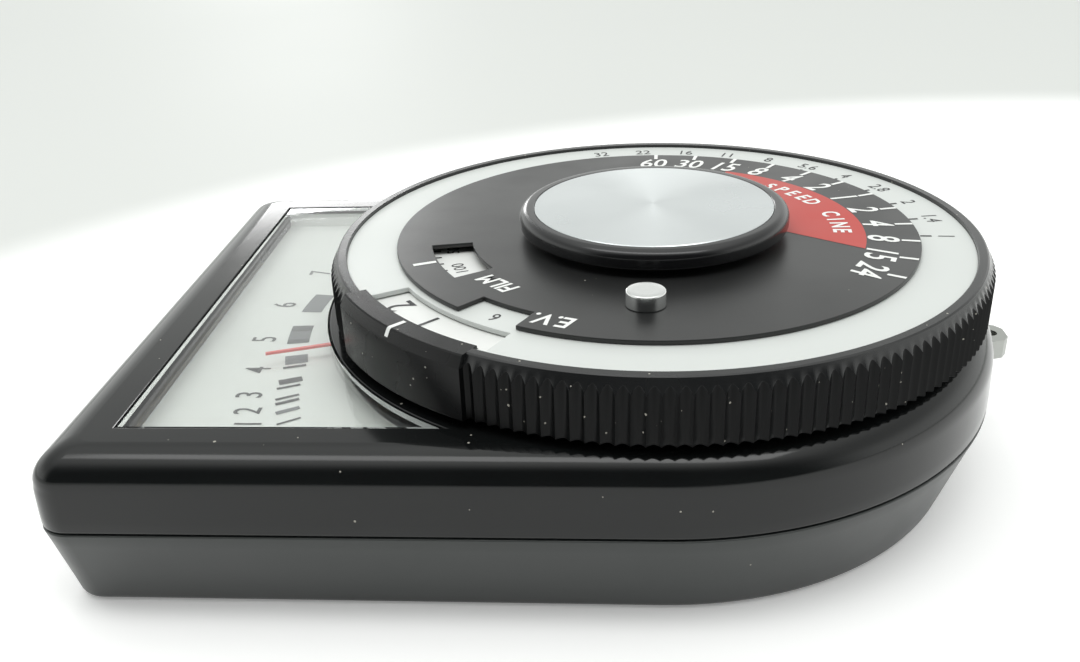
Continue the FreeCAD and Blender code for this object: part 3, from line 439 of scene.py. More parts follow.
# case shells
frontShell = {"splitHalf": 28.4, "splitEnd": 44.7, "half": 28.3, "end": 44.6, "sideRound": 2.6,
              "endRound": 3.4, "cornerSplit": 2.7, "corner": 2.6, "cornerDrop": 1.3, "split": 7.9,
              "top": 14.0, "softEdge": 0.09,
              "hollow": ((26.9, 43.2, 1.5, 7.0), (26.9, 43.2, 1.5, 7.9), (26.8, 43.1, 1.4, 10.9),
                         (26.0, 42.0, 1.2, 12.5)),
              "windowHole": (39.05, 23.75, 28.15), "windowLevels": (11.5, 15.0),
              "cellHole": ((-47, -19.85, 7), (-42.0, 19.85, 10.85)),
              "lugHole": ((25.4, -2, 7), (30, 2, 9.75)),
              "axle": ((4.0, 13.6), (4.0, 18.4), (3.9, 18.5))}


def roundDrop(radius, rise):
    # how far a quarter round has come in at this height above its start
    if rise <= 0:
        return 0.0
    return radius * (1 - math.sqrt(max(0.0, 1 - (rise / radius) ** 2)))


def frontRows(shell):
    rows = []
    half, end, corner, split = shell["splitHalf"], shell["splitEnd"], shell["cornerSplit"], shell["split"]
    for inset, rise in ((0.26, 0.05), (0.1, 0.09), (0.03, 0.17)):
        rows.append(caseOutline(half - inset, end - inset, corner - inset, split + rise))
    sideStart = shell["top"] - shell["sideRound"]
    endStart = shell["top"] - shell["endRound"]
    levels = [9.0, 10.0, endStart, 10.85, 11.1]
    levels += [sideStart + shell["sideRound"] * math.sin(math.pi / 2 * step / 16) for step in range(17)]
    for z in levels:
        share = min(1.0, (z - split) / (sideStart - split))
        lift = max(0.0, z - sideStart) / shell["sideRound"]
        rows.append(caseOutline(
            half + (shell["half"] - half) * share - roundDrop(shell["sideRound"], z - sideStart),
            end + (shell["end"] - end) * share - roundDrop(shell["endRound"], z - endStart),
            corner + (shell["corner"] - corner) * share - shell["cornerDrop"] * lift, z))
    topHalf, topEnd = shell["half"] - shell["sideRound"], shell["end"] - shell["endRound"]
    rows.append(caseOutline(topHalf - 0.35, topEnd - 0.35, 0.95, shell["top"]))
    return rows


frontPiece = makePiece("frontShell", *stackRows(frontRows(frontShell)), "case", [caseBlack], ["front_case"],
                       "case_black")
frontCuts = [hollowPiece("frontHollow", frontShell["hollow"]),
             makePiece("windowHole", *stackRows([windowOutline(*frontShell["windowHole"], z)
                                                 for z in frontShell["windowLevels"]]), None, []),
             blockPiece("cellHole", *frontShell["cellHole"]),
             blockPiece("lugHole", *frontShell["lugHole"])]
carve(frontPiece, frontCuts)
softenEdges(frontPiece, frontShell["softEdge"], caseBlack)
makePiece("dialAxle", *stackRows(turnedRows(frontShell["axle"], 96)), "case", [caseBlack], slot="case_black")

backShell = {"baseHalf": 25.75, "baseEnd": 44.4, "splitHalf": 28.4, "splitEnd": 44.7, "cornerBase": 2.5,
             "cornerSplit": 2.7, "round": 1.0, "split": 7.9, "softEdge": 0.08,
             "hollow": ((24.25, 42.9, 1.3, 1.5), (26.9, 43.2, 1.5, 7.9), (26.9, 43.2, 1.5, 9.0)),
             "cellHole": ((-47, -19.85, 3.35), (-42.0, 19.85, 9.0)),
             "screwWell": (1.75, -1, 1.2), "screwSpots": ((-8, -22), (-8, 22), (20.5, 0)),
             "zeroWell": (1.7, -1, 1.1, -9.5, 0)}


def backRows(shell):
    rows = []
    lean = (shell["splitHalf"] - shell["baseHalf"]) / shell["split"]
    endLean = (shell["splitEnd"] - shell["baseEnd"]) / shell["split"]
    bend = math.atan(lean)
    radius = shell["round"]
    touch = radius * (1 - math.sin(bend))
    tangentHalf = shell["baseHalf"] + touch * lean
    tangentEnd = shell["baseEnd"] + touch * endLean
    centre = tangentHalf - radius * math.cos(bend)
    endCentre = tangentEnd - radius * math.cos(bend)
    rows.append(caseOutline(centre - 0.35, endCentre - 0.35, shell["cornerBase"] - radius - 0.35, 0.0))
    steps = 8
    for step in range(steps + 1):
        angle = -math.pi / 2 + (math.pi / 2 - bend) * step / steps
        reach = radius * math.cos(angle)
        rows.append(caseOutline(centre + reach, endCentre + reach, shell["cornerBase"] - radius + reach,
                                radius + radius * math.sin(angle)))
    for step in range(1, 5):
        share = step / 5
        rows.append(caseOutline(tangentHalf + (shell["splitHalf"] - tangentHalf) * share,
                                tangentEnd + (shell["splitEnd"] - tangentEnd) * share,
                                shell["cornerBase"] + (shell["cornerSplit"] - shell["cornerBase"]) * share,
                                touch + (shell["split"] - touch) * share))
    half, end, corner, split = shell["splitHalf"], shell["splitEnd"], shell["cornerSplit"], shell["split"]
    for inset, drop in ((0.02, 0.16), (0.09, 0.08), (0.26, 0.04)):
        rows.append(caseOutline(half - inset, end - inset, corner - inset, split - drop))
    return rows


backPiece = makePiece("backShell", *stackRows(backRows(backShell)), "case", [caseGrey], ["back_case"],
                      "case_back")
backCuts = [hollowPiece("backHollow", backShell["hollow"]),
            blockPiece("backCellHole", *backShell["cellHole"])]
for index, (x, y) in enumerate(backShell["screwSpots"]):
    backCuts.append(rodPiece("screwWell%d" % index, *backShell["screwWell"], x, y))
backCuts.append(rodPiece("zeroWell", *backShell["zeroWell"]))
carve(backPiece, backCuts)
softenEdges(backPiece, backShell["softEdge"], caseGrey)
print("case shells made")


# meter window and card print
windowPlug = {"left": 39.0, "half": 23.7, "sharp": 25, "edgeLow": 12.4, "edgeArc": 28.6, "edgeSide": 23.2,
              "rows": ((0.9, 27.6, 11.9), (0.9, 27.6, 12.5), (0.0, 28.2, 12.5), (0.0, 28.2, 13.8),
                       (-0.14, 28.34, 13.95))}  # spread, arc and height, from the foot up
windowPiece = makePiece("meterWindow", *stackRows([
    windowOutline(windowPlug["left"] + spread, windowPlug["half"] + spread, arc, z)
    for spread, arc, z in windowPlug["rows"]]),
    "case", [windowClear, edgeHighlightPaint], ["meter_window"], "clear_window", sharp=windowPlug["sharp"])
# upright edge faces by the dial and along the far side take the pale finish, a painted highlight
for face in windowPiece.data.polygons:
    middle = face.center / mm
    upright = abs(face.normal.z) < 0.2 and middle.z > windowPlug["edgeLow"]
    byDial = math.hypot(middle.x, middle.y) < windowPlug["edgeArc"]
    if upright and (byDial or middle.y > windowPlug["edgeSide"]):
        face.material_index = 1


def addStamp(bm, text, size, spot, turn, slant=0.0, squeeze=1.0, weight=0.0):
    # a flat printed word: spot is its centre, turn points its top
    curve = bpy.data.curves.new("stamp", "FONT")
    curve.body = text
    curve.size = size * mm
    curve.align_x = "CENTER"
    curve.align_y = "CENTER"
    curve.shear = slant
    curve.offset = weight * size * mm
    curve.resolution_u = 3
    holder = bpy.data.objects.new("stamp", curve)
    bpy.context.scene.collection.objects.link(holder)
    graph = bpy.context.evaluated_depsgraph_get()
    mesh = bpy.data.meshes.new_from_object(holder.evaluated_get(graph))
    place = (Matrix.Translation(Vector(spot) * mm) @ Matrix.Rotation(turn - math.pi / 2, 4, "Z")
             @ Matrix.Diagonal((squeeze, 1.0, 1.0, 1.0)))
    mesh.transform(place)
    bm.from_mesh(mesh)
    bpy.data.meshes.remove(mesh)
    bpy.data.objects.remove(holder)
    bpy.data.curves.remove(curve)


def addPatch(bm, inner, outer, start, end, z, steps=1):
    # a printed bar or band between two radii, angles in degrees
    low = []
    high = []
    for step in range(steps + 1):
        angle = math.radians(start + (end - start) * step / steps)
        low.append(bm.verts.new(Vector(polar(inner, angle, z)) * mm))
        high.append(bm.verts.new(Vector(polar(outer, angle, z)) * mm))
    for step in range(steps):
        bm.faces.new((low[step], high[step], high[step + 1], low[step + 1]))


def finishPrint(name, bm, body, finish):
    mesh = bpy.data.meshes.new(name)
    bm.to_mesh(mesh)
    bm.free()
    piece = bpy.data.objects.new(name, mesh)
    bpy.context.scene.collection.objects.link(piece)
    return dressPiece(piece, body, [finish])


cardPrint = {"level": 10.23, "digitRadius": 34.2, "digitSize": 3.1, "barIn": 30.3, "barOut": 32.2,
             "squeeze": 0.75, "weight": 0.004, "growFrom": 196.0, "growSpan": 14.0, "grow": 1.9,
             "digits": (("1", 211.4), ("2", 208.2), ("3", 204.1), ("4", 197.2), ("5", 187.4), ("6", 175.2),
                        ("7", 162.0), ("8", 148.0)),
             "paleBars": ((210.1, 211.0), (193.9, 196.8), (183.1, 189.6), (170.6, 177.8), (156.6, 164.6),
                          (145.0, 151.5)),
             "darkBars": ((213.2, 213.6), (206.6, 207.2), (207.8, 208.5), (201.4, 202.9), (203.6, 204.2),
                          (197.4, 198.1), (183.2, 185.2), (188.2, 189.6))}


def growAt(angle):
    # the scale widens towards its near end
    return cardPrint["grow"] * max(0.0, (angle - cardPrint["growFrom"]) / cardPrint["growSpan"])


digits = bmesh.new()
for text, angle in cardPrint["digits"]:
    radius = cardPrint["digitRadius"] + growAt(angle)
    addStamp(digits, text, cardPrint["digitSize"],
             polar(radius, math.radians(angle), cardPrint["level"]), math.pi,
             squeeze=cardPrint["squeeze"], weight=cardPrint["weight"])
finishPrint("cardDigits", digits, "case", printBlack)
for label, key, finish, lift in (("cardPaleBars", "paleBars", printGrey, 0.0),
                                 ("cardDarkBars", "darkBars", printBlack, 0.01)):
    bars = bmesh.new()
    for start, end in cardPrint[key]:
        addPatch(bars, cardPrint["barIn"] + growAt(start), cardPrint["barOut"] + growAt(start), start, end,
                 cardPrint["level"] + lift, 3)
    finishPrint(label, bars, "case", finish)
print("window and card made")


# ribbed dial ring
dialRing = {"crest": 27.5, "ribs": 171, "depth": 0.36, "bottom": 14.7, "bevelStart": 18.5, "bevelEnd": 19.5,
            "bevelReach": 26.95, "top": 19.7, "rimInner": 26.1, "tabRadius": 27.8, "tabInner": 25.6,
            "tabStart": -151.0, "tabEnd": -119.7, "perRib": 8, "tabStep": 0.0004, "sharp": 24,
            "lip": 25.9, "lipTop": 17.6, "groove": 25.5, "seat": 19.0, "tabSeat": 19.41, "webTop": 18.4,
            "web": ((25.95, 18.4), (4.06, 18.4), (4.06, 14.6), (7.0, 14.6), (7.0, 17.6), (25.95, 17.6))}


def ringColumn(ring, angle):
    # outer profile at one angle, from the bottom inner edge over the rim and down inside
    degrees = math.degrees(angle)
    start, end = math.radians(ring["tabStart"]), math.radians(ring["tabEnd"])
    onTab = start <= angle <= end
    slope = (ring["crest"] - ring["bevelReach"]) / (ring["bevelEnd"] - ring["bevelStart"])
    if onTab:
        wall = ring["tabRadius"]
        inner = ring["tabInner"]
        meet = ring["bevelStart"] + 0.35
        upper = ring["bevelReach"] + 0.5
    else:
        across = (angle / math.tau * ring["ribs"]) % 1.0
        bowl = 1.0 - abs(2 * across - 1.0) ** 1.7
        wall = ring["crest"] - ring["depth"] * bowl
        inner = ring["rimInner"]
        meet = ring["bevelStart"] + (ring["crest"] - wall) / slope
        upper = ring["bevelReach"]
    return [
        (ring["lip"], ring["lipTop"]), (ring["lip"], ring["bottom"] + 0.08),
        (ring["lip"] + 0.1, ring["bottom"]), (wall - 0.08, ring["bottom"]),
        (wall, ring["bottom"] + 0.1), (wall, meet - 0.02), (wall - 0.012, meet + 0.02),
        (upper, ring["bevelEnd"]), (upper - 0.06, ring["top"] - 0.08), (upper - 0.2, ring["top"]),
        (inner + 0.06, ring["top"]), (inner, ring["top"] - 0.05), (inner, ring["tabSeat"]),
        (ring["groove"], ring["tabSeat"] if onTab else ring["seat"]), (ring["groove"], ring["webTop"])]


ringAngles = []
ribStep = math.tau / (dialRing["ribs"] * dialRing["perRib"])
for step in range(dialRing["ribs"] * dialRing["perRib"]):
    ringAngles.append(-math.pi + step * ribStep)
for key, away in (("tabStart", -1), ("tabEnd", 1)):
    edge = math.radians(dialRing[key])
    ringAngles += [edge, edge + away * dialRing["tabStep"]]
ringAngles.sort()
columns = [[polar(radius, angle, z) for radius, z in ringColumn(dialRing, angle)] for angle in ringAngles]
ringRows = [[column[level] for column in columns] for level in range(len(columns[0]))]
ringPiece = makePiece("dialRing", *stackRows(ringRows, False, False), "dial",
                      [ringBlack, ringFluteShaded, tabShadedBlack], ["dial_ring"], "ring_black", sharp=dialRing["sharp"])
# tab faces and fluted side faces take the darker copies, painted shade
for face in ringPiece.data.polygons:
    middle = face.center / mm
    if dialRing["tabStart"] < math.degrees(math.atan2(middle.y, middle.x)) < dialRing["tabEnd"]:
        face.material_index = 2
        continue
    if math.hypot(middle.x, middle.y) > dialRing["bevelReach"] and middle.z < dialRing["bevelStart"] + 0.3:
        face.material_index = 1
makePiece("dialWeb", *stackRows(turnedRows(dialRing["web"], 128), False, False), "dial", [ringBlack],
          slot="ring_black")

indexMark = {"angle": -135.0, "halfWidth": 0.42,
             "profile": ((25.95, 19.72), (27.24, 19.72), (27.4, 19.64), (27.47, 19.52), (27.7, 19.1))}
indexLine = bmesh.new()
for inner, outer in zip(indexMark["profile"], indexMark["profile"][1:]):
    corners = []
    for (radius, z), side in ((inner, -1), (outer, -1), (outer, 1), (inner, 1)):
        angle = math.radians(indexMark["angle"] + side * indexMark["halfWidth"])
        corners.append(indexLine.verts.new(Vector(polar(radius, angle, z)) * mm))
    indexLine.faces.new(corners)
finishPrint("indexLine", indexLine, "dial", printWhite)
print("dial ring made")


# flat dial plates with windows
def makePlate(name, plate, body, finish, stands, slot):
    # a flat turned plate whose cells inside a window (inner, outer, start, end) are left open
    radii = plate["radii"]
    angles = []
    marks = sorted({0.0} | {edge for window in plate["windows"] for edge in window[2:]})
    for first, last in zip(marks, marks[1:] + [marks[0] + 360.0]):
        count = max(1, int((last - first) / plate["fine"]))
        angles += [first + (last - first) * step / count for step in range(count)]
    count = len(angles)

    def isOpen(ring, index):
        radius = (radii[ring] + radii[ring + 1]) / 2
        angle = (angles[index] + (angles[(index + 1) % count] - angles[index]) % 360.0 / 2) % 360.0
        return any(inner < radius < outer and (angle - start) % 360.0 < (end - start)
                   for inner, outer, start, end in plate["windows"])

    verts = []
    for z in (plate["low"], plate["high"]):
        for radius in radii:
            verts += [polar(radius, math.radians(angle), z) for angle in angles]

    def spot(layer, ring, index):
        return (layer * len(radii) + ring) * count + index % count

    faces = []
    cells = [[not isOpen(ring, index) for index in range(count)] for ring in range(len(radii) - 1)]
    for ring in range(len(radii) - 1):
        for index in range(count):
            if not cells[ring][index]:
                continue
            for layer in (0, 1):
                faces.append((spot(layer, ring, index), spot(layer, ring + 1, index),
                              spot(layer, ring + 1, index + 1), spot(layer, ring, index + 1)))
            if ring == 0 or not cells[ring - 1][index]:
                faces.append((spot(0, ring, index), spot(0, ring, index + 1), spot(1, ring, index + 1),
                              spot(1, ring, index)))
            if ring == len(radii) - 2 or not cells[ring + 1][index]:
                faces.append((spot(0, ring + 1, index), spot(0, ring + 1, index + 1),
                              spot(1, ring + 1, index + 1), spot(1, ring + 1, index)))
            for near, side in ((index - 1, index), (index + 1, index + 1)):
                if not cells[ring][near % count]:
                    faces.append((spot(0, ring, side), spot(0, ring + 1, side), spot(1, ring + 1, side),
                                  spot(1, ring, side)))
    piece = makePiece(name, verts, faces, body, [finish], stands, slot)
    softenEdges(piece, plate["softEdge"], finish)


annulusPlate = {"radii": (19.2, 22.4, 25.55, 26.1), "low": 19.0, "high": 19.4, "softEdge": 0.05, "fine": 2.0,
                "windows": ((22.4, 25.55, -149.5, -118.2),), "printLevel": 19.42, "squeeze": 0.85,
                "pitch": 10.5, "stopAngle": -4.0, "stopRadius": 24.1, "stopSize": 1.9,
                "tickIn": 22.1, "tickOut": 23.0, "tickHalf": 0.35,
                "valueAngle": -83.0, "valueRadius": 20.8, "valueSize": 1.7,
                "stops": ("1", "1.4", "2", "2.8", "4", "5.6", "8", "11", "16", "22", "32")}
makePlate("aperturePlate", annulusPlate, "dial", annulusSilver, ["aperture_plate"], "annulus_silver")
speedPlate = {"radii": (5.06, 15.5, 18.9, 19.3, 21.87), "low": 19.45, "high": 19.8, "softEdge": 0.05,
              "fine": 1.5, "windows": ((15.5, 18.9, -169.5, -146.5), (19.3, 22.0, -132.6, -118.0))}
makePlate("speedDisc", speedPlate, "speed_setting", discDark, ["speed_disc"], "disc_black")

numberSet = {"hole": 1.35, "edge": 25.2, "low": 18.5, "high": 18.9, "printLevel": 18.92,
             "firstAngle": -126.1, "pitch": 9.2, "values": 24, "valueRadius": 23.9, "valueSize": 3.3,
             "squeeze": 0.85, "weight": 0.006, "filmAngle": -158.0, "filmPitch": 14.0, "filmRadius": 17.1,
             "filmSize": 1.5, "films": ("12", "25", "50", "100", "200", "400", "800"),
             "tickIn": 18.2, "tickOut": 18.85, "tickPitch": 4.6, "tickHalf": 0.4}
makePiece("numberDisc", *stackRows(turnedRows([
    (numberSet["hole"], numberSet["low"]), (numberSet["edge"], numberSet["low"]),
    (numberSet["edge"], numberSet["high"]), (numberSet["hole"], numberSet["high"]),
    (numberSet["hole"], numberSet["low"])], 192), False, False),
    "case", [numberWhite], ["number_disc"], "disc_white")
numberPrint = bmesh.new()
for value in range(1, numberSet["values"] + 1):
    angle = math.radians(numberSet["firstAngle"] - numberSet["pitch"] * value)
    addStamp(numberPrint, str(value), numberSet["valueSize"],
             polar(numberSet["valueRadius"], angle, numberSet["printLevel"]), angle,
             squeeze=numberSet["squeeze"], weight=numberSet["weight"])
for index, text in enumerate(numberSet["films"]):
    angle = numberSet["filmAngle"] + (index - 3) * numberSet["filmPitch"]
    addStamp(numberPrint, text, numberSet["filmSize"],
             polar(numberSet["filmRadius"], math.radians(angle), numberSet["printLevel"]),
             math.radians(angle))
    for step in range(3):
        tick = angle + step * numberSet["tickPitch"]
        addPatch(numberPrint, numberSet["tickIn"], numberSet["tickOut"], tick - numberSet["tickHalf"],
                 tick + numberSet["tickHalf"], numberSet["printLevel"])
finishPrint("numberPrint", numberPrint, "case", printBlack)

annulusPrint = bmesh.new()
for index, text in enumerate(annulusPlate["stops"]):
    angle = annulusPlate["stopAngle"] + index * annulusPlate["pitch"]
    addStamp(annulusPrint, text, annulusPlate["stopSize"],
             polar(annulusPlate["stopRadius"], math.radians(angle), annulusPlate["printLevel"]),
             math.radians(angle), squeeze=annulusPlate["squeeze"])
    addPatch(annulusPrint, annulusPlate["tickIn"], annulusPlate["tickOut"], angle - annulusPlate["tickHalf"],
             angle + annulusPlate["tickHalf"], annulusPlate["printLevel"])
for value in range(2, 16):
    angle = annulusPlate["valueAngle"] - (value - 2) * annulusPlate["pitch"]
    addStamp(annulusPrint, str(value), annulusPlate["valueSize"],
             polar(annulusPlate["valueRadius"], math.radians(angle), annulusPlate["printLevel"]),
             math.radians(angle), squeeze=annulusPlate["squeeze"])
finishPrint("annulusPrint", annulusPrint, "dial", printBlack)

discMark = {"level": 19.82, "firstTick": -31.6, "pitch": 10.8, "labelRadius": 18.8, "labelShift": 1.1,
            "size": 3.5, "slant": 0.2, "squeeze": 0.78, "weight": 0.015, "tickIn": 20.35, "tickOut": 21.8,
            "tickHalf": 0.48, "filmLine": (19.1, 21.0, -158.7, -157.4), "wordSlant": 0.15,
            "words": (("E.V.", 2.4, 20.0, -112.4, 0.9, 0.022), ("FILM", 2.2, 16.9, -136.0, 0.85, 0.025)),
            "speeds": ("24", "15", "8", "4", "2", "1", "2", "4", "8", "15", "30", "60")}
whiteMarks = bmesh.new()
for text, size, radius, degrees, squeeze, weight in discMark["words"]:
    angle = math.radians(degrees)
    addStamp(whiteMarks, text, size, polar(radius, angle, discMark["level"]), angle, discMark["wordSlant"],
             squeeze, weight)
addPatch(whiteMarks, *discMark["filmLine"], discMark["level"])
for index, text in enumerate(discMark["speeds"]):
    tick = discMark["firstTick"] + index * discMark["pitch"]
    angle = math.radians(tick + discMark["labelShift"])
    addStamp(whiteMarks, text, discMark["size"], polar(discMark["labelRadius"], angle, discMark["level"]),
             angle, discMark["slant"], discMark["squeeze"], discMark["weight"])
    addPatch(whiteMarks, discMark["tickIn"], discMark["tickOut"], tick - discMark["tickHalf"],
             tick + discMark["tickHalf"], discMark["level"])
finishPrint("speedPrint", whiteMarks, "speed_setting", printWhite)

sector = {"inner": 10.5, "outer": 17.6, "innerStart": -4.0, "outerStart": -17.5, "end": 64.0,
          "level": 19.815, "steps": 48, "words": (("CINE", 11.0), ("SPEED", 44.0)), "letterPitch": 5.1,
          "letterSize": 2.05, "letterRadius": 15.7, "letterLevel": 19.83, "squeeze": 0.85, "weight": 0.03}
redMarks = bmesh.new()
lowEdge = []
highEdge = []
for step in range(sector["steps"] + 1):
    share = step / sector["steps"]
    lowAngle = math.radians(sector["innerStart"] + (sector["end"] - sector["innerStart"]) * share)
    highAngle = math.radians(sector["outerStart"] + (sector["end"] - sector["outerStart"]) * share)
    lowEdge.append(redMarks.verts.new(Vector(polar(sector["inner"], lowAngle, sector["level"])) * mm))
    highEdge.append(redMarks.verts.new(Vector(polar(sector["outer"], highAngle, sector["level"])) * mm))
for step in range(sector["steps"]):
    redMarks.faces.new((lowEdge[step], highEdge[step], highEdge[step + 1], lowEdge[step + 1]))
finishPrint("redSector", redMarks, "speed_setting", printRed)
paleMarks = bmesh.new()
for text, first in sector["words"]:
    for index, letter in enumerate(text):
        angle = math.radians(first - index * sector["letterPitch"])
        addStamp(paleMarks, letter, sector["letterSize"],
                 polar(sector["letterRadius"], angle, sector["letterLevel"]), angle,
                 squeeze=sector["squeeze"], weight=sector["weight"])
finishPrint("sectorPrint", paleMarks, "speed_setting", printWhite)
print("dial plates made")


# centre cap and setting stud
capShape = {"bore": 2.8, "neck": 9.0, "radius": 11.35, "low": 19.86, "shoulder": 20.45, "top": 22.05,
            "discRadius": 10.1, "recess": 0.34, "topRound": 0.75, "lowRound": 0.35}
capDisc = {"radius": 10.07, "low": 21.75, "edge": 22.01, "chamfer": 0.05, "rise": 22.06, "crown": 0.05,
           "middle": 0.5, "steps": 8}
setStud = {"x": -1.0, "y": -15.9, "foot": ((0.8, 19.46), (0.8, 19.8), (1.42, 19.8), (1.5, 19.86)),
           "corner": (1.36, 20.86, 0.14, 0, 90, 5), "face": ((0.9, 21.0), (0.3, 21.0))}


def capSection(cap):
    points = [(cap["bore"], cap["low"]), (cap["neck"], cap["low"]), (cap["neck"], cap["shoulder"] - 0.09),
              (cap["neck"] + 0.1, cap["shoulder"])]
    points += roundCorner(cap["radius"] - cap["lowRound"], cap["shoulder"] + cap["lowRound"],
                          cap["lowRound"], -90, 0, 8)
    points += roundCorner(cap["radius"] - cap["topRound"], cap["top"] - cap["topRound"],
                          cap["topRound"], 0, 90, 12)
    points += [(cap["discRadius"] + 0.08, cap["top"]), (cap["discRadius"], cap["top"] - 0.06),
               (cap["discRadius"], cap["top"] - cap["recess"]), (cap["bore"], cap["top"] - cap["recess"])]
    return points


def discSection(disc):
    # a chamfered edge and a face that swells slightly towards the middle
    start = disc["radius"] - disc["chamfer"]
    points = [(disc["radius"], disc["low"]), (disc["radius"], disc["edge"]), (start, disc["rise"])]
    for step in range(1, disc["steps"]):
        share = step / disc["steps"]
        points.append((start * (1 - share) + disc["middle"] * share,
                       disc["rise"] + disc["crown"] * math.sin(math.pi / 2 * share)))
    return points


makePiece("centreCap", *stackRows(turnedRows(capSection(capShape)), False, False), "case", [capBlack],
          ["centre_cap"], "cap_black")
makePiece("capDisc", *stackRows(turnedRows(discSection(capDisc))), "case", [capSpun], ["cap_disc"],
          "cap_spun")
studSection = [*setStud["foot"], *roundCorner(*setStud["corner"]), *setStud["face"]]
makePiece("setStud", *stackRows(turnedRows(studSection, 64, setStud["x"], setStud["y"])), "speed_setting",
          [studMetal], ["set_stud"], "stud_alloy")
print("cap and stud made")


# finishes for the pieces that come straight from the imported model
carried = {
    "pointer": needleRed, "counterweights": brassTurned, "coil_bobbin": plateAlloy,
    "coil_winding": windingCopper, "pivot_staffs": steelBright, "case_screws": steelBright,
    "strap_lug": lugSteel, "cell_window": lensClear,
    "selenium_cell": seleniumGrey, "cell_front_contact": contactBronze,
    "cell_back_contact": contactBronze, "scale_card": cardWhite, "scale_plate": plateAlloy,
    "scale_screws": steelBright, "pointer_stops": brassTurned,
    "movement_plate": brassTurned, "plate_screws": steelBright, "bridge_posts": brassTurned,
    "upper_bridge": brassTurned, "bridge_screws": steelBright, "jewel_screw_upper": brassTurned,
    "jewel_screw_lower": brassTurned, "core_magnet": magnetAlloy, "yoke_ring": ironSoft,
    "core_spacers": brassTurned, "hairspring_upper": contactBronze, "hairspring_lower": contactBronze,
    "range_resistor": resistorTan, "lead_wires": leadRed, "ring_washer": steelBright,
    "friction_washer": steelBright, "centre_bush": brassTurned, "hub_screw": steelBright,
    "zero_screw": steelBright, "zero_lever": brassTurned}
for label, finish in carried.items():
    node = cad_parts[label]
    for index in range(len(node.data.materials)):
        node.material_slots[index].material = finish
print("carried finishes set")


# floor, light and camera
stageSet = {"span": 3.0, "paleCentre": (0.06, -0.06, 0.0), "paleReach": 0.178, "edge": 0.012,
            "inside": (0.98, 0.98, 0.975), "outside": (0.69, 0.705, 0.685), "shadowFillGlow": 0.2}


def makeStage(stage):
    # a pale sweep, paler in a round patch under the object; the patch also glows, painted light that fills
    # in the object's shadow
    mesh = bpy.data.meshes.new("floor")
    span = stage["span"]
    corners = [(-span, -span, 0), (span, -span, 0), (span, span, 0), (-span, span, 0)]
    mesh.from_pydata(corners, [], [(0, 1, 2, 3)])
    floor = bpy.data.objects.new("floor", mesh)
    bpy.context.scene.collection.objects.link(floor)
    finish = makeFinish("floorPale", stage["outside"], 0.6, vary=0.03, depth=0.02, mottle=5.0, specular=0.2)
    tree = finish.node_tree
    shader = tree.nodes["Principled BSDF"]
    place = addNode(tree, "ShaderNodeTexCoord")
    reach = addNode(tree, "ShaderNodeVectorMath", operation="DISTANCE")
    reach.inputs[1].default_value = stage["paleCentre"]
    tree.links.new(place.outputs["Object"], reach.inputs[0])
    blend = addNode(tree, "ShaderNodeMapRange", interpolation_type="SMOOTHSTEP")
    blend.inputs["From Min"].default_value = stage["paleReach"] - stage["edge"]
    blend.inputs["From Max"].default_value = stage["paleReach"] + stage["edge"]
    tree.links.new(reach.outputs["Value"], blend.inputs["Value"])
    outside = shader.inputs["Base Color"].links[0].from_socket
    roundPatchTone = mixColours(tree, blend.outputs[0], stage["inside"], outside)
    tree.links.new(roundPatchTone, shader.inputs["Base Color"])
    # the round patch glows: painted light filling the shadow under the object
    tree.links.new(mixColours(tree, blend.outputs[0], (1.0, 1.0, 1.0), (0.0, 0.0, 0.0)),
                   shader.inputs["Emission Color"])
    shader.inputs["Emission Strength"].default_value = stage["shadowFillGlow"]
    mesh.materials.append(finish)


makeStage(stageSet)
# place, target, width, height and brightness of each soft panel
softLights = {
    "overhead": ((-0.02, -0.1, 0.5), (0.0, 0.0, 0.0), 0.6, 0.13, 3.0),
    "backLeft": ((-0.225, 0.68, 0.179), (-0.035, 0.023, 0.014), 0.13, 0.12, 7.0)}
for label, (spot, target, width, height, bright) in softLights.items():
    lamp = bpy.data.lights.new(label, "AREA")
    lamp.shape = "RECTANGLE"
    lamp.size = width
    lamp.size_y = height
    lamp.energy = bright * math.pi * width * height
    holder = bpy.data.objects.new(label, lamp)
    holder.location = spot
    holder.rotation_euler = (Vector(target) - Vector(spot)).to_track_quat("-Z", "Y").to_euler()
    bpy.context.scene.collection.objects.link(holder)

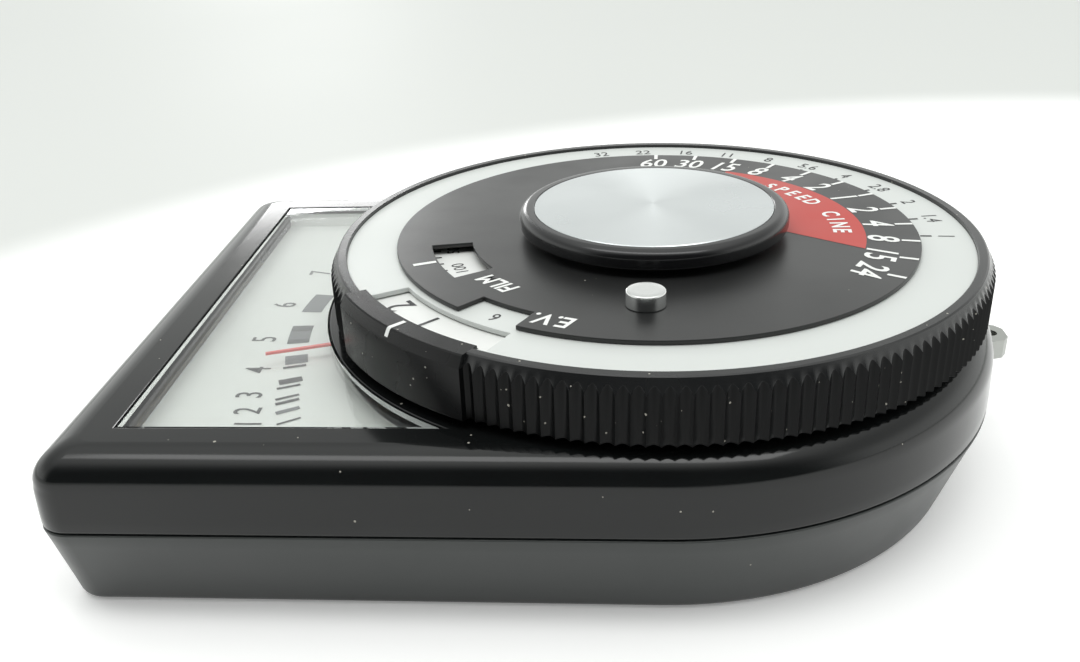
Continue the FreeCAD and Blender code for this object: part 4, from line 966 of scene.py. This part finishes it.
# the room: dark on the near side, pale behind and overhead
roomLight = {"nearY": -0.75, "farY": -0.3, "dark": (0.03, 0.032, 0.032), "pale": (0.95, 0.97, 0.95),
             "levels": ((0.2, 0.5, 1.35, 0.8), (0.6, 0.95, 0.0, 0.75))}  # two heights, two strengths
world = bpy.data.worlds.new("studio")
world.use_nodes = True
bpy.context.scene.world = world
sky = world.node_tree
where = addNode(sky, "ShaderNodeTexCoord")
split = addNode(sky, "ShaderNodeSeparateXYZ")
sky.links.new(where.outputs["Generated"], split.inputs[0])
ramp = addNode(sky, "ShaderNodeMapRange", interpolation_type="SMOOTHSTEP")
ramp.inputs["From Min"].default_value = roomLight["nearY"]
ramp.inputs["From Max"].default_value = roomLight["farY"]
sky.links.new(split.outputs["Y"], ramp.inputs["Value"])
tone = mixColours(sky, ramp.outputs[0], roomLight["dark"], roomLight["pale"])
sky.links.new(tone, sky.nodes["Background"].inputs["Color"])
level = None
for start, end, first, last in roomLight["levels"]:
    low = addNode(sky, "ShaderNodeMapRange", interpolation_type="SMOOTHSTEP")
    for key, value in (("From Min", start), ("From Max", end), ("To Min", first), ("To Max", last)):
        low.inputs[key].default_value = value
    sky.links.new(split.outputs["Z"], low.inputs["Value"])
    level = low.outputs[0] if level is None else mathNode(sky, "ADD", level, low.outputs[0])
sky.links.new(level, sky.nodes["Background"].inputs["Strength"])
bpy.context.scene.view_settings.view_transform = "Standard"

cameraSet = {"place": (-3.254, -88.529, 52.483), "yaw": -0.0918, "pitch": 0.4598, "roll": -0.0449,
             "lens": 36.22, "shiftX": 0.0135, "shiftY": 0.0151, "sensor": 36, "near": 0.002, "far": 20}
yaw, pitch, roll = cameraSet["yaw"], cameraSet["pitch"], cameraSet["roll"]
ahead = Vector((math.sin(yaw) * math.cos(pitch), math.cos(yaw) * math.cos(pitch), -math.sin(pitch)))
side = Vector((math.cos(yaw), -math.sin(yaw), 0))
up = side.cross(ahead)
right = side * math.cos(roll) + up * math.sin(roll)
top = up * math.cos(roll) - side * math.sin(roll)
lens = bpy.data.cameras.new("viewCamera")
lens.lens = cameraSet["lens"]
lens.sensor_width = cameraSet["sensor"]
lens.shift_x = cameraSet["shiftX"]
lens.shift_y = cameraSet["shiftY"]
lens.clip_start = cameraSet["near"]
lens.clip_end = cameraSet["far"]
viewer = bpy.data.objects.new("viewCamera", lens)
bpy.context.scene.collection.objects.link(viewer)
turn = Matrix((right, top, -ahead)).transposed().to_4x4()
viewer.matrix_world = Matrix.Translation(Vector(cameraSet["place"]) * mm) @ turn
bpy.context.scene.camera = viewer
print("stage and camera set")
